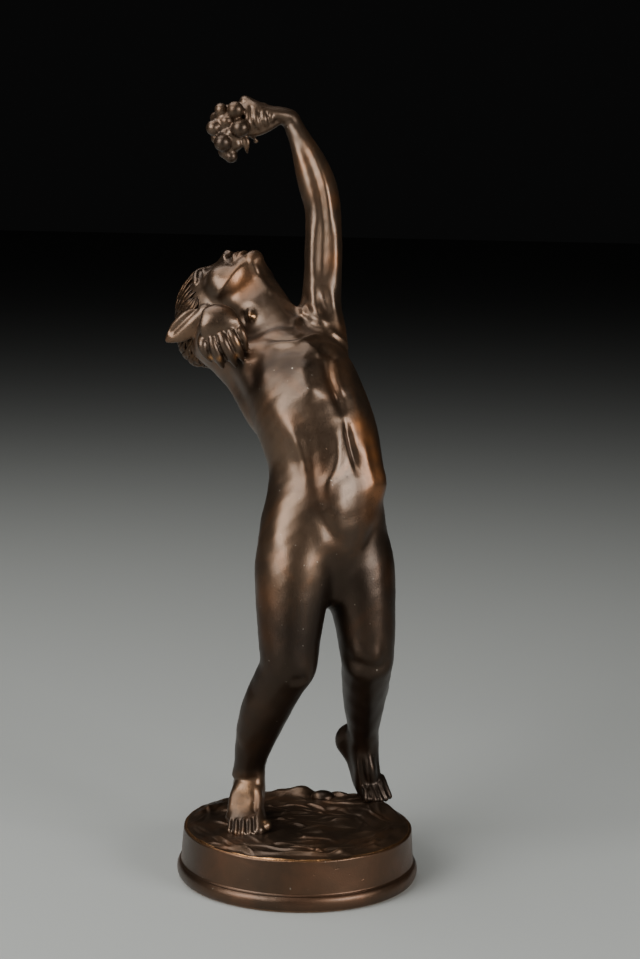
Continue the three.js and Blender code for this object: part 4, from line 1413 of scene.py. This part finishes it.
def figure_shade(points):
    """Painted shade down the legs, beginning higher on the left leg, and leaving out the standing foot."""
    x, _, z = points.T
    top = LEG_SHADE_TOP + LEFT_LEG_RISE * np.clip((x - LEFT_LEG_FROM) / LEFT_LEG_BLEND, 0, 1)
    above_foot = np.clip((z - STANDING_FOOT_TOP) / STANDING_FOOT_FADE, 0, 1)
    legs = LEG_SHADE * np.clip((top - z) / LEG_SHADE_FADE, 0, 1)
    return legs * np.where(x < STANDING_FOOT_SIDE, above_foot, 1)


def hair_shade(points):
    return np.full(len(points), HAIR_SHADE)


def ground_shade(points):
    return np.full(len(points), GROUND_SHADE)


# From how far out or how deep a mask begins, and over what range it grows, in millimetres
WEAR_BAND = (0.30, 0.6)
HOLLOW_BAND = (0.10, 0.5)


def band_share(values, band):
    start, reach = band
    return np.clip((values - start) / reach, 0, 1)


def paint_masks(ob, worn=1.0, warm_spots=(), rubbed_spots=(), shaded_spots=(), shade=None):
    """Wear on what stands out, dark patina in what lies deep plus what shade adds, and painted shade, warm
    sheen and highlight at the spots.
    """
    skin = Skin(ob)
    pairs = edge_pairs(ob)
    broad = relax(skin.points, pairs, 12)
    out = ((skin.points - broad) * skin.normals).sum(1)
    out = relax(out[:, None], pairs, 2)[:, 0]
    wear = worn * band_share(out, WEAR_BAND)
    hollow = band_share(-out, HOLLOW_BAND)
    # The shade function adds to the hollow mask: painted shade on the legs, a darker tone on the hair and the
    # ground
    if shade:
        hollow = np.maximum(hollow, shade(skin.points))
    warm = np.zeros(len(skin.points))
    for spots, mask in ((warm_spots, warm), (rubbed_spots, wear), (shaded_spots, hollow)):
        for mark, radius, amount in spots:
            place = np.array(skin.spot(mark)[0])
            gap = ((skin.points - place) ** 2).sum(1)
            np.maximum(mask, amount * np.exp(-gap / radius ** 2), out=mask)
    # The hollow attribute carries the patina of the hollows together with the painted shade
    for name, values in (("wear", wear), ("hollow", hollow), ("warm", warm)):
        layer = ob.data.attributes.new(name, "FLOAT", "POINT")
        layer.data.foreach_set("value", np.clip(values, 0, 1))


# Spots of patina, painted shade, sheen and highlight: a pixel of the photograph, a radius in millimetres and
# an amount

# Painted shade under the collar bone, where the hand shadows it, and beside the belly; darker leading grapes
SHADED_SPOTS = (
    ((268, 366), 14, 0.8), ((286, 368), 14, 0.8), ((302, 364), 8, 0.7), ((256, 378), 11, 0.8),
    ((300, 386), 6, 0.6), ((314, 466), 8, 0.6), ((317, 488), 8, 0.6), ((318, 508), 7, 0.5),
    ((311, 442), 8, 0.3), ((235.3, 110), 3.6, 0.6), ((240.5, 128), 3.8, 0.6), ((222.5, 143), 3.6, 0.6),
    ((231, 158), 2.8, 0.5),
)

# Painted warm sheen: most of it down the left flank, with some on the thighs, the right shin and the upper
# body
WARM_SPOTS = (
    ((361, 424), 5, 0.9), ((368, 438), 6, 1.0), ((373, 456), 6, 1.0), ((377, 474), 7, 1.0),
    ((378, 494), 7, 0.9), ((372, 512), 7, 0.5), ((331, 390), 5, 0.3), ((316, 470), 6, 0.3),
    ((318, 492), 6, 0.3), ((392, 575), 7, 0.6), ((262, 600), 8, 0.6), ((262, 635), 8, 0.5),
    ((242, 690), 8, 0.7), ((238, 715), 8, 0.6), ((243, 285), 7, 0.6), ((181, 300), 6, 0.5),
    ((335, 260), 5, 0.5), ((336, 200), 4, 0.5), ((345, 330), 6, 0.4),
)

# Rubbed bright on the finger tips at the brow and on other high points; on the instep it is a painted
# highlight
RUBBED_SPOTS = (
    ((211, 358), 1.4, 1.0), ((220, 359), 1.4, 1.0), ((236, 356), 1.4, 1.0), ((239, 342), 1.3, 0.9),
    ((164, 341), 1.8, 0.8), ((252, 316), 2.0, 0.7), ((265, 823), 2.4, 0.35), ((246, 790), 5, 0.3),
    ((243, 803), 5, 0.3),
)


def finish(ob, material, slot, node=None, **masks):
    """Brings a piece to metres, gives it its finish and lets it ride with the statue."""
    paint_masks(ob, **masks)
    ob.data.transform(Matrix.Scale(MM, 4))
    ob.data.materials.clear()
    ob.data.materials.append(material)
    ob.data.polygons.foreach_set("use_smooth", np.ones(len(ob.data.polygons), bool))
    ob.data.update()
    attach(ob, "root")
    if node:
        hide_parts(node)


# Floor and light

# Half the width of the floor, in metres
FLOOR_REACH = 30
FLOOR_COLOUR = (0.36, 0.37, 0.35)
FLOOR_ROUGHNESS = 0.7

# Name, place, width and height in metres, and watts
LIGHTS = (
    ("left_box", (-0.86, -0.78, 0.74), 0.85, 0.9, 20),
    ("right_box", (0.88, -0.76, 0.52), 0.62, 0.45, 12),
    ("overhead", (-0.45, 0.10, 1.4), 1.3, 1.0, 12),
)
WORLD_COLOUR = (0.75, 0.76, 0.76)
WORLD_STRENGTH = 0.005


def make_floor():
    """A pale floor that runs on into the dark behind the light."""
    bm = bmesh.new()
    bmesh.ops.create_grid(bm, x_segments=1, y_segments=1, size=FLOOR_REACH)
    floor = new_object("floor", bm)
    material = bpy.data.materials.new("pale_floor")
    material.use_nodes = True
    shader = next(n for n in material.node_tree.nodes if n.type == "BSDF_PRINCIPLED")
    shader.inputs["Base Color"].default_value = (*FLOOR_COLOUR, 1)
    shader.inputs["Roughness"].default_value = FLOOR_ROUGHNESS
    floor.data.materials.append(material)


def make_lights():
    middle = (CAD_BOX[0] + CAD_BOX[1]) / 2
    for name, place, width, height, power in LIGHTS:
        lamp = bpy.data.lights.new(name, "AREA")
        lamp.energy = power
        lamp.shape = "RECTANGLE"
        lamp.size = width
        lamp.size_y = height
        holder = bpy.data.objects.new(name, lamp)
        holder.location = place
        holder.rotation_mode = "QUATERNION"
        holder.rotation_quaternion = (middle - Vector(place)).to_track_quat("-Z", "Y")
        bpy.context.scene.collection.objects.link(holder)
    world = bpy.data.worlds.new("studio")
    world.use_nodes = True
    back = next(n for n in world.node_tree.nodes if n.type == "BACKGROUND")
    back.inputs["Color"].default_value = (*WORLD_COLOUR, 1)
    back.inputs["Strength"].default_value = WORLD_STRENGTH
    bpy.context.scene.world = world


make_camera()
make_floor()
make_lights()
patina = patina_group()
figure_bronze = bronze("figure_bronze", patina, dark=(0.073, 0.047, 0.030), brown=(0.135, 0.080, 0.046),
                       red=(0.34, 0.13, 0.04), coat=0.3, bump=0.2)
base_bronze = bronze("base_bronze", patina, dark=(0.062, 0.036, 0.021), brown=(0.112, 0.058, 0.031),
                     red=(0.22, 0.09, 0.045), coat=0.2, bump=0.22)
finish(make_figure(), figure_bronze, "figure_bronze", "faun", warm_spots=WARM_SPOTS,
       rubbed_spots=RUBBED_SPOTS, shaded_spots=SHADED_SPOTS, shade=figure_shade)
finish(make_hair(), figure_bronze, "figure_bronze", worn=0.12, shade=hair_shade)
finish(make_ground(), figure_bronze, "figure_bronze", shade=ground_shade)
finish(make_base(), base_bronze, "base_bronze", "base")
